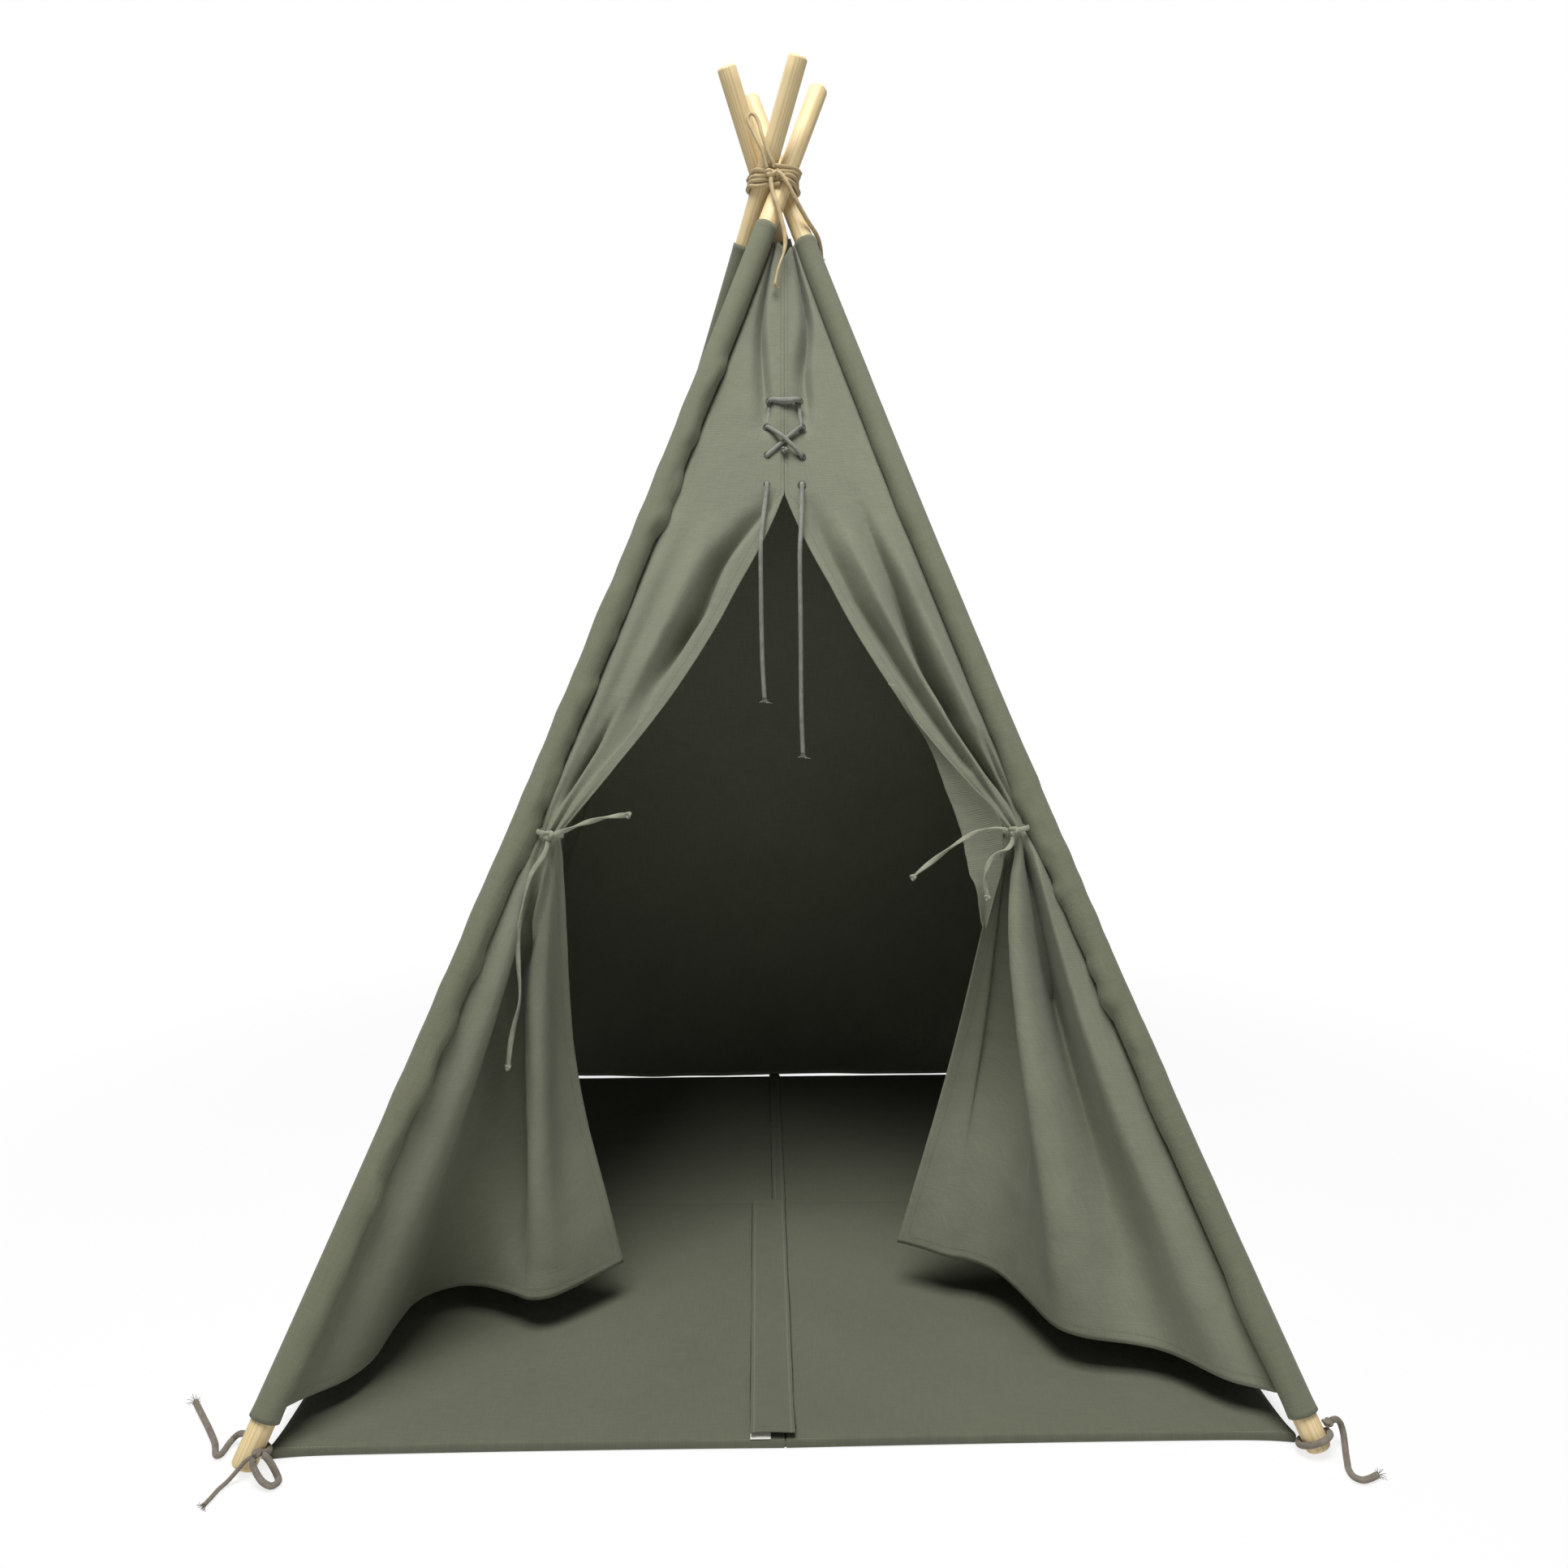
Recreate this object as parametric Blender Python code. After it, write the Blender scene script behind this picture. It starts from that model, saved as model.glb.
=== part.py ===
"""Kids teepee: four lashed wooden poles under a canvas cover, with a quilted floor mat.

Metres, +Z up. The origin is on the floor in the middle, and the door faces -Y.
Every piece of the cover and of its ties is placed from the axes of the four poles.
"""

import math
from functools import lru_cache

import bmesh
import bpy
from mathutils import Matrix, Vector

# The frame: four round poles, slightly bowed by the pull of the cover
HALF_BASE = 0.54
CROSSING_HEIGHT = 1.417
POLE_TOP_REACH = 0.1466
POLE_DIAMETER = 0.025
POLE_BOW = 0.014
POLE_EDGE_ROUND = 0.003
POLE_SIDES = 16
POLE_STEPS = 9
CROSSING_CLEARANCE = 0.0005
TOUCH_GAP = 0.0003
SEAM_GAP = 0.0007

# The cover: a sleeve on each pole, three walls and the laced front
CLOTH = 0.0016
SLEEVE_EASE = 0.0006
SLEEVE_WALL = 0.0013
SLEEVE_PUFF = 0.0009
SLEEVE_NECK_LENGTH = 0.16
SLEEVE_HEM_HEIGHT = 0.045
COVER_TOP_DROP = 0.08
WALL_HEM_HEIGHT = 0.026
WALL_SAG = 0.007
WALL_COLUMNS = 8
WALL_ROWS = 9

# The front: two panels sewn together above the door, drawn aside below it
APEX_DROP = 0.417
DOOR_APEX_HEIGHT = CROSSING_HEIGHT - APEX_DROP
TIE_HEIGHT = 0.604
PANEL_COLUMNS = 10
PANEL_ROWS = 14
PANEL_ROW_POWER = 1.25
PANEL_FOLDS = 2
PANEL_FOLD_DEPTH = 0.011
GATHER_FOLD_DEPTH = 0.002
# Heights between tie and apex, and the share of the front's width that the cloth covers
DOOR_EDGE_SHARES = ((0.0, 0.074), (0.05, 0.092), (0.12, 0.118), (0.2, 0.148), (0.3, 0.19),
                    (0.4, 0.232), (0.5, 0.272), (0.6, 0.312), (0.72, 0.36), (0.85, 0.425),
                    (1.0, 0.5))

# The lacing over the door
EYELET_DIAMETER = 0.0085
EYELET_SIDES = 10
EYELET_SPACING = 0.043
EYELET_RISES = (0.011, 0.047, 0.085, 0.119)
LACE_DIAMETER = 0.0055
LACE_BEND = 0.004
BEAD_DIAMETER = 0.007
BEAD_RISE = 0.054

# The door skirts: the cloth that hangs free under each tie
SKIRT_COLUMNS = 20
SKIRT_ROWS = 7
SKIRT_TURN = math.radians(60)
SKIRT_SEAM_POWER = 3
# Plan points of each hem from the sleeve to the free corner, as shares of the half base
LEFT_HEM_SHARES = ((-0.865, -0.815), (-0.822, -0.683), (-0.800, -0.598), (-0.765, -0.556),
                   (-0.712, -0.538), (-0.660, -0.548), (-0.608, -0.580), (-0.560, -0.608),
                   (-0.510, -0.600), (-0.462, -0.570), (-0.410, -0.525), (-0.356, -0.474))
RIGHT_HEM_SHARES = ((0.890, -0.915), (0.835, -0.872), (0.770, -0.826), (0.700, -0.800),
                    (0.615, -0.770), (0.560, -0.728), (0.532, -0.668), (0.506, -0.610),
                    (0.472, -0.556), (0.425, -0.516), (0.372, -0.500), (0.320, -0.474),
                    (0.267, -0.448))
LEFT_CORNER_HEIGHT = 0.062
RIGHT_CORNER_HEIGHT = 0.075

# The tie-backs: a tape round the gathered cloth, its knot and its two ends
TAPE_DIAMETER = 0.0055
BAND_DIAMETER = 0.0032
BAND_EASE = 0.0016
BAND_DEPTH_HALF = 0.009
BAND_POINTS = 20
TAPE_KNOT_WIDTH = 0.013
TAPE_KNOT_DEPTH = 0.009
TAPE_KNOT_SHIFTS = {"left": 0.0, "right": -0.006}
SEAM_RELIEF_HEIGHT = 0.03

# The lashing at the crossing
LASHING_CORD = 0.005
LASHING_GAP = 0.0009
LASHING_TURNS = 4
LOOP_POINTS = 24
LASHING_KNOT_WIDTH = 0.017
LASHING_KNOT_DEPTH = 0.009
LASHING_KNOT_HEIGHT = 0.013
LASHING_KNOT_EAST = -0.004
LASHING_KNOT_SINK = 0.002
BIGHT_CORD = 0.0042

# The mat: four quarter pads with two cover strips along the middle
MAT_INSET = 0.021
MAT_HALF = HALF_BASE - MAT_INSET
MAT_JOIN_GAP = 0.0006
PAD_THICKNESS = 0.0145
PAD_EDGE_HEIGHT = 0.0115
PAD_SIDE_HEIGHT = 0.006
PAD_SIDE_BULGE = 0.0012
PAD_CROWN_REACH = 0.045
PAD_CORNER_PULL = 0.0045
PAD_SIDE_DRAW = 0.0015
PAD_CELLS = 8
FRONT_STRIP = (-0.036, 0.010)
REAR_STRIP = (-0.007, 0.011)
STRIP_THICKNESS = 0.002
STRIP_SEAT = 0.0006
STRIP_ROWS = 10
STRIP_COLUMNS = 4
STRIP_END_LIFT = 0.005
STRIP_LIFT_REACH = 0.06
LABEL_WIDTH = 0.021
LABEL_HEIGHT = 0.008
LABEL_THICKNESS = 0.0008

# The foot ties that hold the mat's front corners to the poles
FOOT_CORD = 0.0065
FOOT_THIN_CORD = 0.0045
FOOT_RING_RISE = 0.0147
FOOT_RING_POINTS = 24
FOOT_KNOT = 0.01

CORNERS = {
    "front_left": (-1, -1),
    "front_right": (1, -1),
    "rear_left": (-1, 1),
    "rear_right": (1, 1),
}
# How far each sleeve stops under the lashing, and over the floor
SLEEVE_TOP_DROPS = {"front_left": 0.066, "front_right": 0.078, "rear_left": 0.074,
                    "rear_right": 0.062}
SLEEVE_HEM_HEIGHTS = {"front_left": 0.046, "front_right": 0.036, "rear_left": 0.045,
                      "rear_right": 0.045}

# Free cord routes, chosen along the photographed ones. The lashing's start from the crossing,
# the lace's from its lowest eyelets, the tapes' from their knots and the foot ties' from the
# floor under the ends of the poles.
LASHING_TAIL_FRONT = (
    (-0.0040, -0.0388, -0.0068), (-0.0040, -0.0398, -0.0120), (-0.0018, -0.0425, -0.0250),
    (0.0030, -0.0462, -0.0390), (0.0066, -0.0480, -0.0520), (0.0104, -0.0492, -0.0660),
    (0.0132, -0.0505, -0.0792), (0.0136, -0.0530, -0.0920), (0.0118, -0.0560, -0.1040),
    (0.0076, -0.0595, -0.1160), (0.0036, -0.0625, -0.1285), (0.0004, -0.0655, -0.1445),
)
LASHING_TAIL_SIDE = (
    (0.0049, -0.0382, 0.0000), (0.0078, -0.0388, -0.0008), (0.0125, -0.0398, -0.0065),
    (0.0205, -0.0390, -0.0190), (0.0315, -0.0330, -0.0370), (0.0445, -0.0235, -0.0550),
    (0.0560, -0.0125, -0.0680), (0.0610, -0.0030, -0.0790), (0.0630, 0.0050, -0.0910),
)
LASHING_BIGHT = (
    (-0.0087, -0.0382, 0.0059), (-0.0102, -0.0388, 0.0092), (-0.0118, -0.0396, 0.0160),
    (-0.0165, -0.0400, 0.0290), (-0.0238, -0.0378, 0.0440), (-0.0305, -0.0350, 0.0580),
    (-0.0335, -0.0336, 0.0670), (-0.0302, -0.0330, 0.0735), (-0.0240, -0.0335, 0.0715),
    (-0.0195, -0.0365, 0.0620), (-0.0160, -0.0405, 0.0480), (-0.0115, -0.0418, 0.0340),
    (-0.0065, -0.0416, 0.0210), (-0.0003, -0.0390, 0.0096), (-0.0011, -0.0382, 0.0066),
)
LACE_TAIL_LEFT = (
    (0.0000, -0.0015, 0.0006), (0.0000, -0.0030, 0.0011), (0.0000, -0.0055, 0.0010),
    (-0.0001, -0.0072, -0.0008), (-0.0002, -0.0089, -0.0052), (-0.0012, -0.0117, -0.0150),
    (-0.0037, -0.0190, -0.0330), (-0.0062, -0.0280, -0.0550), (-0.0080, -0.0350, -0.0750),
    (-0.0082, -0.0375, -0.0970), (-0.0080, -0.0375, -0.1310), (-0.0078, -0.0375, -0.1615),
    (-0.0072, -0.0375, -0.1960), (-0.0064, -0.0375, -0.2260), (-0.0044, -0.0375, -0.2600),
)
LACE_TAIL_RIGHT = (
    (-0.0000, -0.0015, 0.0006), (-0.0000, -0.0030, 0.0011), (-0.0000, -0.0055, 0.0010),
    (-0.0000, -0.0072, -0.0008), (-0.0000, -0.0089, -0.0052), (-0.0004, -0.0119, -0.0150),
    (-0.0011, -0.0198, -0.0330), (-0.0021, -0.0293, -0.0550), (-0.0035, -0.0368, -0.0750),
    (-0.0039, -0.0393, -0.0970), (-0.0035, -0.0393, -0.1310), (-0.0031, -0.0393, -0.1615),
    (-0.0028, -0.0393, -0.2010), (-0.0026, -0.0393, -0.2410), (-0.0021, -0.0393, -0.2810),
    (-0.0004, -0.0393, -0.3280),
)
TIE_TAIL_LEFT_UPPER = (
    (0.0066, -0.0008, 0.0015), (0.0130, -0.0031, 0.0038), (0.0195, -0.0051, 0.0060),
    (0.0270, -0.0071, 0.0090), (0.0377, -0.0096, 0.0138), (0.0524, -0.0126, 0.0182),
    (0.0661, -0.0146, 0.0218), (0.0798, -0.0161, 0.0239), (0.0916, -0.0171, 0.0249),
)
TIE_TAIL_LEFT_LOWER = (
    (-0.0008, -0.0011, -0.0071), (-0.0016, -0.0046, -0.0140), (-0.0060, -0.0096, -0.0240),
    (-0.0141, -0.0131, -0.0350), (-0.0211, -0.0146, -0.0500), (-0.0285, -0.0146, -0.0800),
    (-0.0345, -0.0146, -0.1129), (-0.0350, -0.0146, -0.1440), (-0.0340, -0.0146, -0.1690),
    (-0.0353, -0.0146, -0.1901), (-0.0423, -0.0146, -0.2167), (-0.0466, -0.0146, -0.2376),
    (-0.0501, -0.0146, -0.2635),
)
TIE_TAIL_RIGHT_UPPER = (
    (-0.0071, -0.0008, 0.0015), (-0.0142, -0.0028, 0.0035), (-0.0227, -0.0053, 0.0042),
    (-0.0312, -0.0078, 0.0030), (-0.0450, -0.0108, 0.0000), (-0.0591, -0.0133, -0.0065),
    (-0.0740, -0.0153, -0.0160), (-0.0926, -0.0173, -0.0295), (-0.1093, -0.0188, -0.0420),
    (-0.1168, -0.0198, -0.0490),
)
TIE_TAIL_RIGHT_LOWER = (
    (-0.0007, -0.0013, -0.0071), (-0.0027, -0.0053, -0.0135), (-0.0087, -0.0098, -0.0190),
    (-0.0167, -0.0128, -0.0215), (-0.0247, -0.0143, -0.0265), (-0.0312, -0.0148, -0.0360),
    (-0.0346, -0.0148, -0.0487), (-0.0340, -0.0148, -0.0610), (-0.0319, -0.0148, -0.0740),
)
FOOT_KNOT_LEFT = (0.0210, -0.0135, 0.0300)
FOOT_KNOT_RIGHT = (0.0106, 0.0081, 0.0284)
FOOT_TIE_LEFT = (
    (0.0208, -0.0090, 0.0269), (0.0216, -0.0052, 0.0246), (0.0235, 0.0025, 0.0200),
    (0.0228, 0.0108, 0.0170), (0.0180, 0.0182, 0.0152), (0.0107, 0.0227, 0.0168),
    (0.0024, 0.0233, 0.0202), (-0.0070, 0.0290, 0.0205), (-0.0170, 0.0370, 0.0160),
    (-0.0250, 0.0425, 0.0090), (-0.0295, 0.0380, 0.0048), (-0.0300, 0.0290, 0.0044),
    (-0.0312, 0.0215, 0.0044), (-0.0360, 0.0220, 0.0044), (-0.0445, 0.0390, 0.0044),
    (-0.0600, 0.0610, 0.0044), (-0.0787, 0.0855, 0.0044), (-0.0959, 0.1080, 0.0044),
)
FOOT_TAIL_LEFT = (
    (0.0168, -0.0132, 0.0266), (0.0086, -0.0115, 0.0205), (0.0011, -0.0145, 0.0125),
    (-0.0060, -0.0195, 0.0055), (-0.0113, -0.0283, 0.0034), (-0.0133, -0.0394, 0.0034),
    (-0.0155, -0.0490, 0.0034),
)
FOOT_LOOP_LEFT = (
    (0.0261, -0.0130, 0.0276), (0.0292, -0.0127, 0.0260), (0.0345, -0.0125, 0.0170),
    (0.0405, -0.0140, 0.0050), (0.0430, -0.0200, 0.0044), (0.0395, -0.0260, 0.0046),
    (0.0330, -0.0265, 0.0075), (0.0265, -0.0245, 0.0130), (0.0196, -0.0208, 0.0237),
    (0.0202, -0.0177, 0.0264),
)
FOOT_TAIL_RIGHT = (
    (0.0156, 0.0101, 0.0295), (0.0190, 0.0113, 0.0299), (0.0230, 0.0125, 0.0285),
    (0.0270, 0.0135, 0.0235), (0.0290, 0.0110, 0.0150), (0.0280, 0.0050, 0.0075),
    (0.0240, -0.0060, 0.0044), (0.0190, -0.0190, 0.0044), (0.0155, -0.0290, 0.0044),
    (0.0155, -0.0390, 0.0044), (0.0215, -0.0440, 0.0044), (0.0300, -0.0420, 0.0044),
    (0.0396, -0.0374, 0.0044),
)

COLOURS = {
    "pine": ((0.80, 0.67, 0.45), 0.55),
    "canvas": ((0.27, 0.28, 0.23), 0.92),
    "lashing_cord": ((0.52, 0.42, 0.27), 0.88),
    "lace": ((0.30, 0.30, 0.27), 0.9),
    "tape": ((0.33, 0.34, 0.29), 0.92),
    "foot_cord": ((0.22, 0.19, 0.16), 0.92),
    "mat_cotton": ((0.29, 0.30, 0.25), 0.94),
    "label_white": ((0.85, 0.85, 0.82), 0.8),
}


def finish_of(name: str) -> bpy.types.Material:
    """A new Principled material in one of the kit's finishes."""
    colour, roughness = COLOURS[name]
    material = bpy.data.materials.new(name)
    material.use_nodes = True
    shader = material.node_tree.nodes["Principled BSDF"]
    shader.inputs["Base Color"].default_value = (*colour, 1.0)
    shader.inputs["Roughness"].default_value = roughness
    shader.inputs["Metallic"].default_value = 0.0
    return material


def add_object(name: str, data, finish: str) -> bpy.types.Object:
    """Put a mesh or curve in the scene under its node's name."""
    piece = bpy.data.objects.new(name, data)
    data.materials.append(finish_of(finish))
    bpy.context.scene.collection.objects.link(piece)
    return piece


def mesh_object(name: str, bm: bmesh.types.BMesh, finish: str) -> bpy.types.Object:
    """Turn a bmesh into a smooth-shaded object."""
    bmesh.ops.recalc_face_normals(bm, faces=bm.faces)
    mesh = bpy.data.meshes.new(name)
    bm.to_mesh(mesh)
    bm.free()
    mesh.shade_smooth()
    return add_object(name, mesh, finish)


def smooth_route(points, step: float) -> list[Vector]:
    """Points about a step apart on a Catmull-Rom curve through the route's own points."""
    knots = [Vector(p) for p in points]
    ends = [2 * knots[0] - knots[1], *knots, 2 * knots[-1] - knots[-2]]
    found = []
    for before, a, b, after in zip(ends, ends[1:], ends[2:], ends[3:]):
        parts = max(1, round((b - a).length / step))
        for part in range(parts):
            t = part / parts
            found.append(0.5 * (2 * a + (b - before) * t
                                + (2 * before - 5 * a + 4 * b - after) * t ** 2
                                + (3 * a - before - 3 * b + after) * t ** 3))
    found.append(knots[-1])
    return found


def tube(name: str, points, diameter: float, finish: str, sides: int = 8,
         thickness_shares=None, closed: bool = False, capped: bool = True) -> bpy.types.Object:
    """A round tube along points; its thickness may follow a share at each point."""
    curve = bpy.data.curves.new(name, "CURVE")
    curve.dimensions = "3D"
    curve.bevel_depth = diameter / 2
    curve.bevel_resolution = (sides - 4) // 2
    curve.use_fill_caps = capped and not closed
    spline = curve.splines.new("POLY")
    spline.points.add(len(points) - 1)
    for number, (place, spot) in enumerate(zip(points, spline.points)):
        spot.co = (*place, 1.0)
        spot.radius = thickness_shares[number] if thickness_shares else 1.0
    spline.use_cyclic_u = closed
    return add_object(name, curve, finish)


def cord(name: str, route, start: Vector, diameter: float, finish: str) -> bpy.types.Object:
    """A free cord: a plain tube with filled ends along a smoothed route from its start."""
    places = [start + Vector(place) for place in route]
    return tube(name, smooth_route(places, 2.5 * diameter), diameter, finish)


def sheet(name: str, columns: int, rows: int, place, finish: str,
          thickness: float = CLOTH) -> bpy.types.Object:
    """A cloth of even thickness; place(across, down) gives its middle surface."""
    bm = bmesh.new()
    bmesh.ops.create_grid(bm, x_segments=columns, y_segments=rows, size=0.5)
    for vert in bm.verts:
        vert.co = place(vert.co.x + 0.5, vert.co.y + 0.5)
    piece = mesh_object(name, bm, finish)
    shell = piece.modifiers.new("Cloth", "SOLIDIFY")
    shell.thickness = thickness
    shell.offset = 0.0
    return piece


def lump(name: str, centre, size, finish: str) -> bpy.types.Object:
    """A small knot, as a rounded body of the given width, depth and height."""
    bm = bmesh.new()
    bmesh.ops.create_uvsphere(bm, u_segments=12, v_segments=8, radius=0.5)
    bmesh.ops.scale(bm, vec=size, verts=bm.verts)
    bmesh.ops.translate(bm, vec=centre, verts=bm.verts)
    return mesh_object(name, bm, finish)


def remapped(value: float, pairs) -> float:
    """Read a table of (place, value) pairs in rising order, straight between its rows."""
    for (low, first), (high, last) in zip(pairs, pairs[1:]):
        if value <= high:
            return first + (last - first) * max(0.0, value - low) / (high - low)
    return pairs[-1][1]


def clamp(value: float) -> float:
    """Keep a share between 0 and 1."""
    return min(1.0, max(0.0, value))


# The poles' axes carry everything else


def foot_lift() -> float:
    """How high the middle of a pole's end stands when its lower rim is on the floor."""
    lean = math.atan(math.hypot(HALF_BASE, HALF_BASE) / CROSSING_HEIGHT)
    lean += 4 * POLE_BOW / math.hypot(HALF_BASE, HALF_BASE, CROSSING_HEIGHT)
    return max(POLE_DIAMETER / 2 * thick * math.sin(lean) - POLE_EDGE_ROUND * along * math.cos(lean)
               for along, thick in END_ROUND_SHARES)


def swirl() -> float:
    """How far each axis passes beside the middle, so that the four poles just miss."""
    lean = math.atan(math.hypot(HALF_BASE, HALF_BASE) / CROSSING_HEIGHT)
    lean -= 4 * POLE_BOW / math.hypot(HALF_BASE, HALF_BASE, CROSSING_HEIGHT)
    spread = math.sqrt(1 + math.cos(lean) ** 2) / (2 * math.cos(lean))
    return POLE_DIAMETER * spread + CROSSING_CLEARANCE


# Distance from a pole's end and thickness there, as shares of the rounding and the pole
END_ROUND_SHARES = ((0.0, 0.72), (0.35, 0.93), (1.0, 1.0))
FOOT_LIFT = foot_lift()
SWIRL = swirl()


def outward(corner: str) -> Vector:
    """The level direction from the middle towards a corner's foot."""
    return Vector((*CORNERS[corner], 0.0)).normalized()


def foot_and_crossing(corner: str) -> tuple[Vector, Vector]:
    """Where a pole's axis starts at its foot, and where it passes the lashing."""
    east, north = CORNERS[corner]
    out = outward(corner)
    foot = Vector((east * HALF_BASE, north * HALF_BASE, FOOT_LIFT))
    return foot, Vector((-out.y * SWIRL, out.x * SWIRL, CROSSING_HEIGHT))


def crossing_length() -> float:
    """The straight distance from a pole's foot to the lashing."""
    foot, crossing = foot_and_crossing("front_left")
    return (crossing - foot).length


def on_pole(corner: str, share: float) -> Vector:
    """A point of a pole's axis: share 0 at the foot and 1 at the lashing."""
    foot, crossing = foot_and_crossing(corner)
    run = (crossing - foot).normalized()
    out = outward(corner)
    inward = (run * out.dot(run) - out).normalized()
    return foot.lerp(crossing, share) + inward * POLE_BOW * 4 * share * (1 - share)


@lru_cache(maxsize=None)
def share_at(corner: str, height: float) -> float:
    """The share of a pole's axis that lies at a height, found by halving."""
    low, high = -0.1, 1.3
    for _ in range(40):
        middle = (low + high) / 2
        if on_pole(corner, middle).z < height:
            low = middle
        else:
            high = middle
    return low


def pole_at(corner: str, height: float) -> Vector:
    """A pole's axis at a height."""
    return on_pole(corner, share_at(corner, height))


def pole_direction(corner: str, share: float) -> Vector:
    """The way up along a pole's axis at a share of it."""
    nudge = POLE_EDGE_ROUND / crossing_length()
    return (on_pole(corner, share + nudge) - on_pole(corner, share - nudge)).normalized()


def sleeve_radius(corner: str, height: float) -> float:
    """The sleeve's outer radius: it is drawn tight at its neck and looser below."""
    neck = CROSSING_HEIGHT - SLEEVE_TOP_DROPS[corner] - SLEEVE_NECK_LENGTH
    tightness = clamp((height - neck) / SLEEVE_NECK_LENGTH)
    return POLE_DIAMETER / 2 + SLEEVE_EASE + SLEEVE_WALL + SLEEVE_PUFF * (1 - tightness)


def make_poles() -> None:
    """The four poles, with their ends softly rounded."""
    total = 1 + POLE_TOP_REACH / crossing_length()
    for corner in CORNERS:
        shares = [along * POLE_EDGE_ROUND / crossing_length() for along, _ in END_ROUND_SHARES]
        inner = [shares[-1] + (total - 2 * shares[-1]) * step / POLE_STEPS
                 for step in range(1, POLE_STEPS)]
        places = shares + inner + [total - share for share in reversed(shares)]
        thick = [size for _, size in END_ROUND_SHARES]
        thick = thick + [1.0] * len(inner) + thick[::-1]
        tube(f"pole_{corner}", [on_pole(corner, share) for share in places],
             POLE_DIAMETER, "pine", POLE_SIDES, thick)


def make_sleeves() -> None:
    """A cloth tunnel round each pole, open at both ends."""
    for corner in CORNERS:
        top = CROSSING_HEIGHT - SLEEVE_TOP_DROPS[corner]
        start, end = share_at(corner, SLEEVE_HEM_HEIGHTS[corner]), share_at(corner, top)
        neck = share_at(corner, top - SLEEVE_NECK_LENGTH)
        places = [start + (neck - start) * step / POLE_STEPS for step in range(POLE_STEPS)]
        places += [neck, (neck + end) / 2, end]
        widest = sleeve_radius(corner, SLEEVE_HEM_HEIGHT) - SLEEVE_WALL / 2
        thick = [(sleeve_radius(corner, on_pole(corner, share).z) - SLEEVE_WALL / 2) / widest
                 for share in places]
        sleeve = tube(f"sleeve_{corner}", [on_pole(corner, share) for share in places],
                      2 * widest, "canvas", POLE_SIDES, thick, capped=False)
        shell = sleeve.modifiers.new("Cloth", "SOLIDIFY")
        shell.thickness = SLEEVE_WALL
        shell.offset = 0.0


def seam_share(left: str, right: str, height: float, corner: str) -> float:
    """The share of the way between two poles where a sleeve's outside is met."""
    span = pole_at(right, height) - pole_at(left, height)
    tilt = span.normalized().dot(pole_direction(corner, share_at(corner, height)))
    reach = sleeve_radius(corner, height) + SEAM_GAP
    return reach / math.sqrt(1 - tilt * tilt) / span.length


def between(left: str, right: str, across: float, height: float) -> Vector:
    """A point of the taut cloth between two sleeves; across runs from 0 to 1."""
    start = seam_share(left, right, height, left)
    end = 1 - seam_share(left, right, height, right)
    return pole_at(left, height).lerp(pole_at(right, height), start + (end - start) * across)


def face_normal(left: str, right: str) -> Vector:
    """The way out of the tent, square to the face between two poles."""
    foot_left, crossing_left = foot_and_crossing(left)
    foot_right, _ = foot_and_crossing(right)
    return (foot_right - foot_left).cross(crossing_left - foot_left).normalized()


def make_walls() -> None:
    """The back wall and the two side walls, each slightly slack between its sleeves."""
    faces = {"wall_left": ("rear_left", "front_left"), "wall_right": ("front_right", "rear_right"),
             "wall_back": ("rear_right", "rear_left")}
    top = CROSSING_HEIGHT - COVER_TOP_DROP
    for name, (left, right) in faces.items():
        inward = -face_normal(left, right)

        def place(across: float, up: float) -> Vector:
            corner_lift = (2 * across - 1) ** 4
            hem = WALL_HEM_HEIGHT + (SLEEVE_HEM_HEIGHT - WALL_HEM_HEIGHT) * corner_lift
            height = hem + (top - hem) * up
            slack = WALL_SAG * math.sin(math.pi * across) * math.sin(math.pi * up)
            return between(left, right, across, height) + inward * slack

        sheet(name, WALL_COLUMNS, WALL_ROWS, place, "canvas")


# The front panels, their lacing and the door skirts


FRONT = ("front_left", "front_right")


def front_point(side: int, across: float, height: float) -> Vector:
    """A point of a front panel's middle surface: across is 0 at the sleeve and 1 at its edge."""
    left, right = FRONT
    corner = left if side < 0 else right
    seam = seam_share(left, right, height, corner)
    relief = clamp(1 - abs(height - TIE_HEIGHT) / SEAM_RELIEF_HEIGHT)
    span = (pole_at(right, height) - pole_at(left, height)).length
    seam += (BAND_DIAMETER + 2 * BAND_EASE) * relief / span
    rise = (height - TIE_HEIGHT) / (DOOR_APEX_HEIGHT - TIE_HEIGHT)
    edge = remapped(clamp(rise), DOOR_EDGE_SHARES) - TOUCH_GAP / 2 / span
    share = seam + (edge - seam) * across
    share = share if side < 0 else 1 - share
    pull = clamp(1 - rise)
    depth = PANEL_FOLD_DEPTH * pull * (1 - pull ** 3) + GATHER_FOLD_DEPTH * pull
    calm = 1 - (1 - across) ** 6 - across ** 6
    fold = depth * calm * math.sin(2 * math.pi * PANEL_FOLDS * across)
    taut = pole_at(left, height).lerp(pole_at(right, height), share)
    return taut + face_normal(left, right) * fold


def front_seam(rise: float) -> Vector:
    """A point of the front's middle seam, at a rise above the door's apex."""
    left, right = FRONT
    height = DOOR_APEX_HEIGHT + rise
    return pole_at(left, height).lerp(pole_at(right, height), 0.5)


def eyelet(side: int, rise: float) -> Vector:
    """The middle of an eyelet on the cloth."""
    left, right = FRONT
    height = DOOR_APEX_HEIGHT + rise
    level = (pole_at(right, height) - pole_at(left, height)).normalized()
    return front_seam(rise) + level * side * EYELET_SPACING / 2


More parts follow.
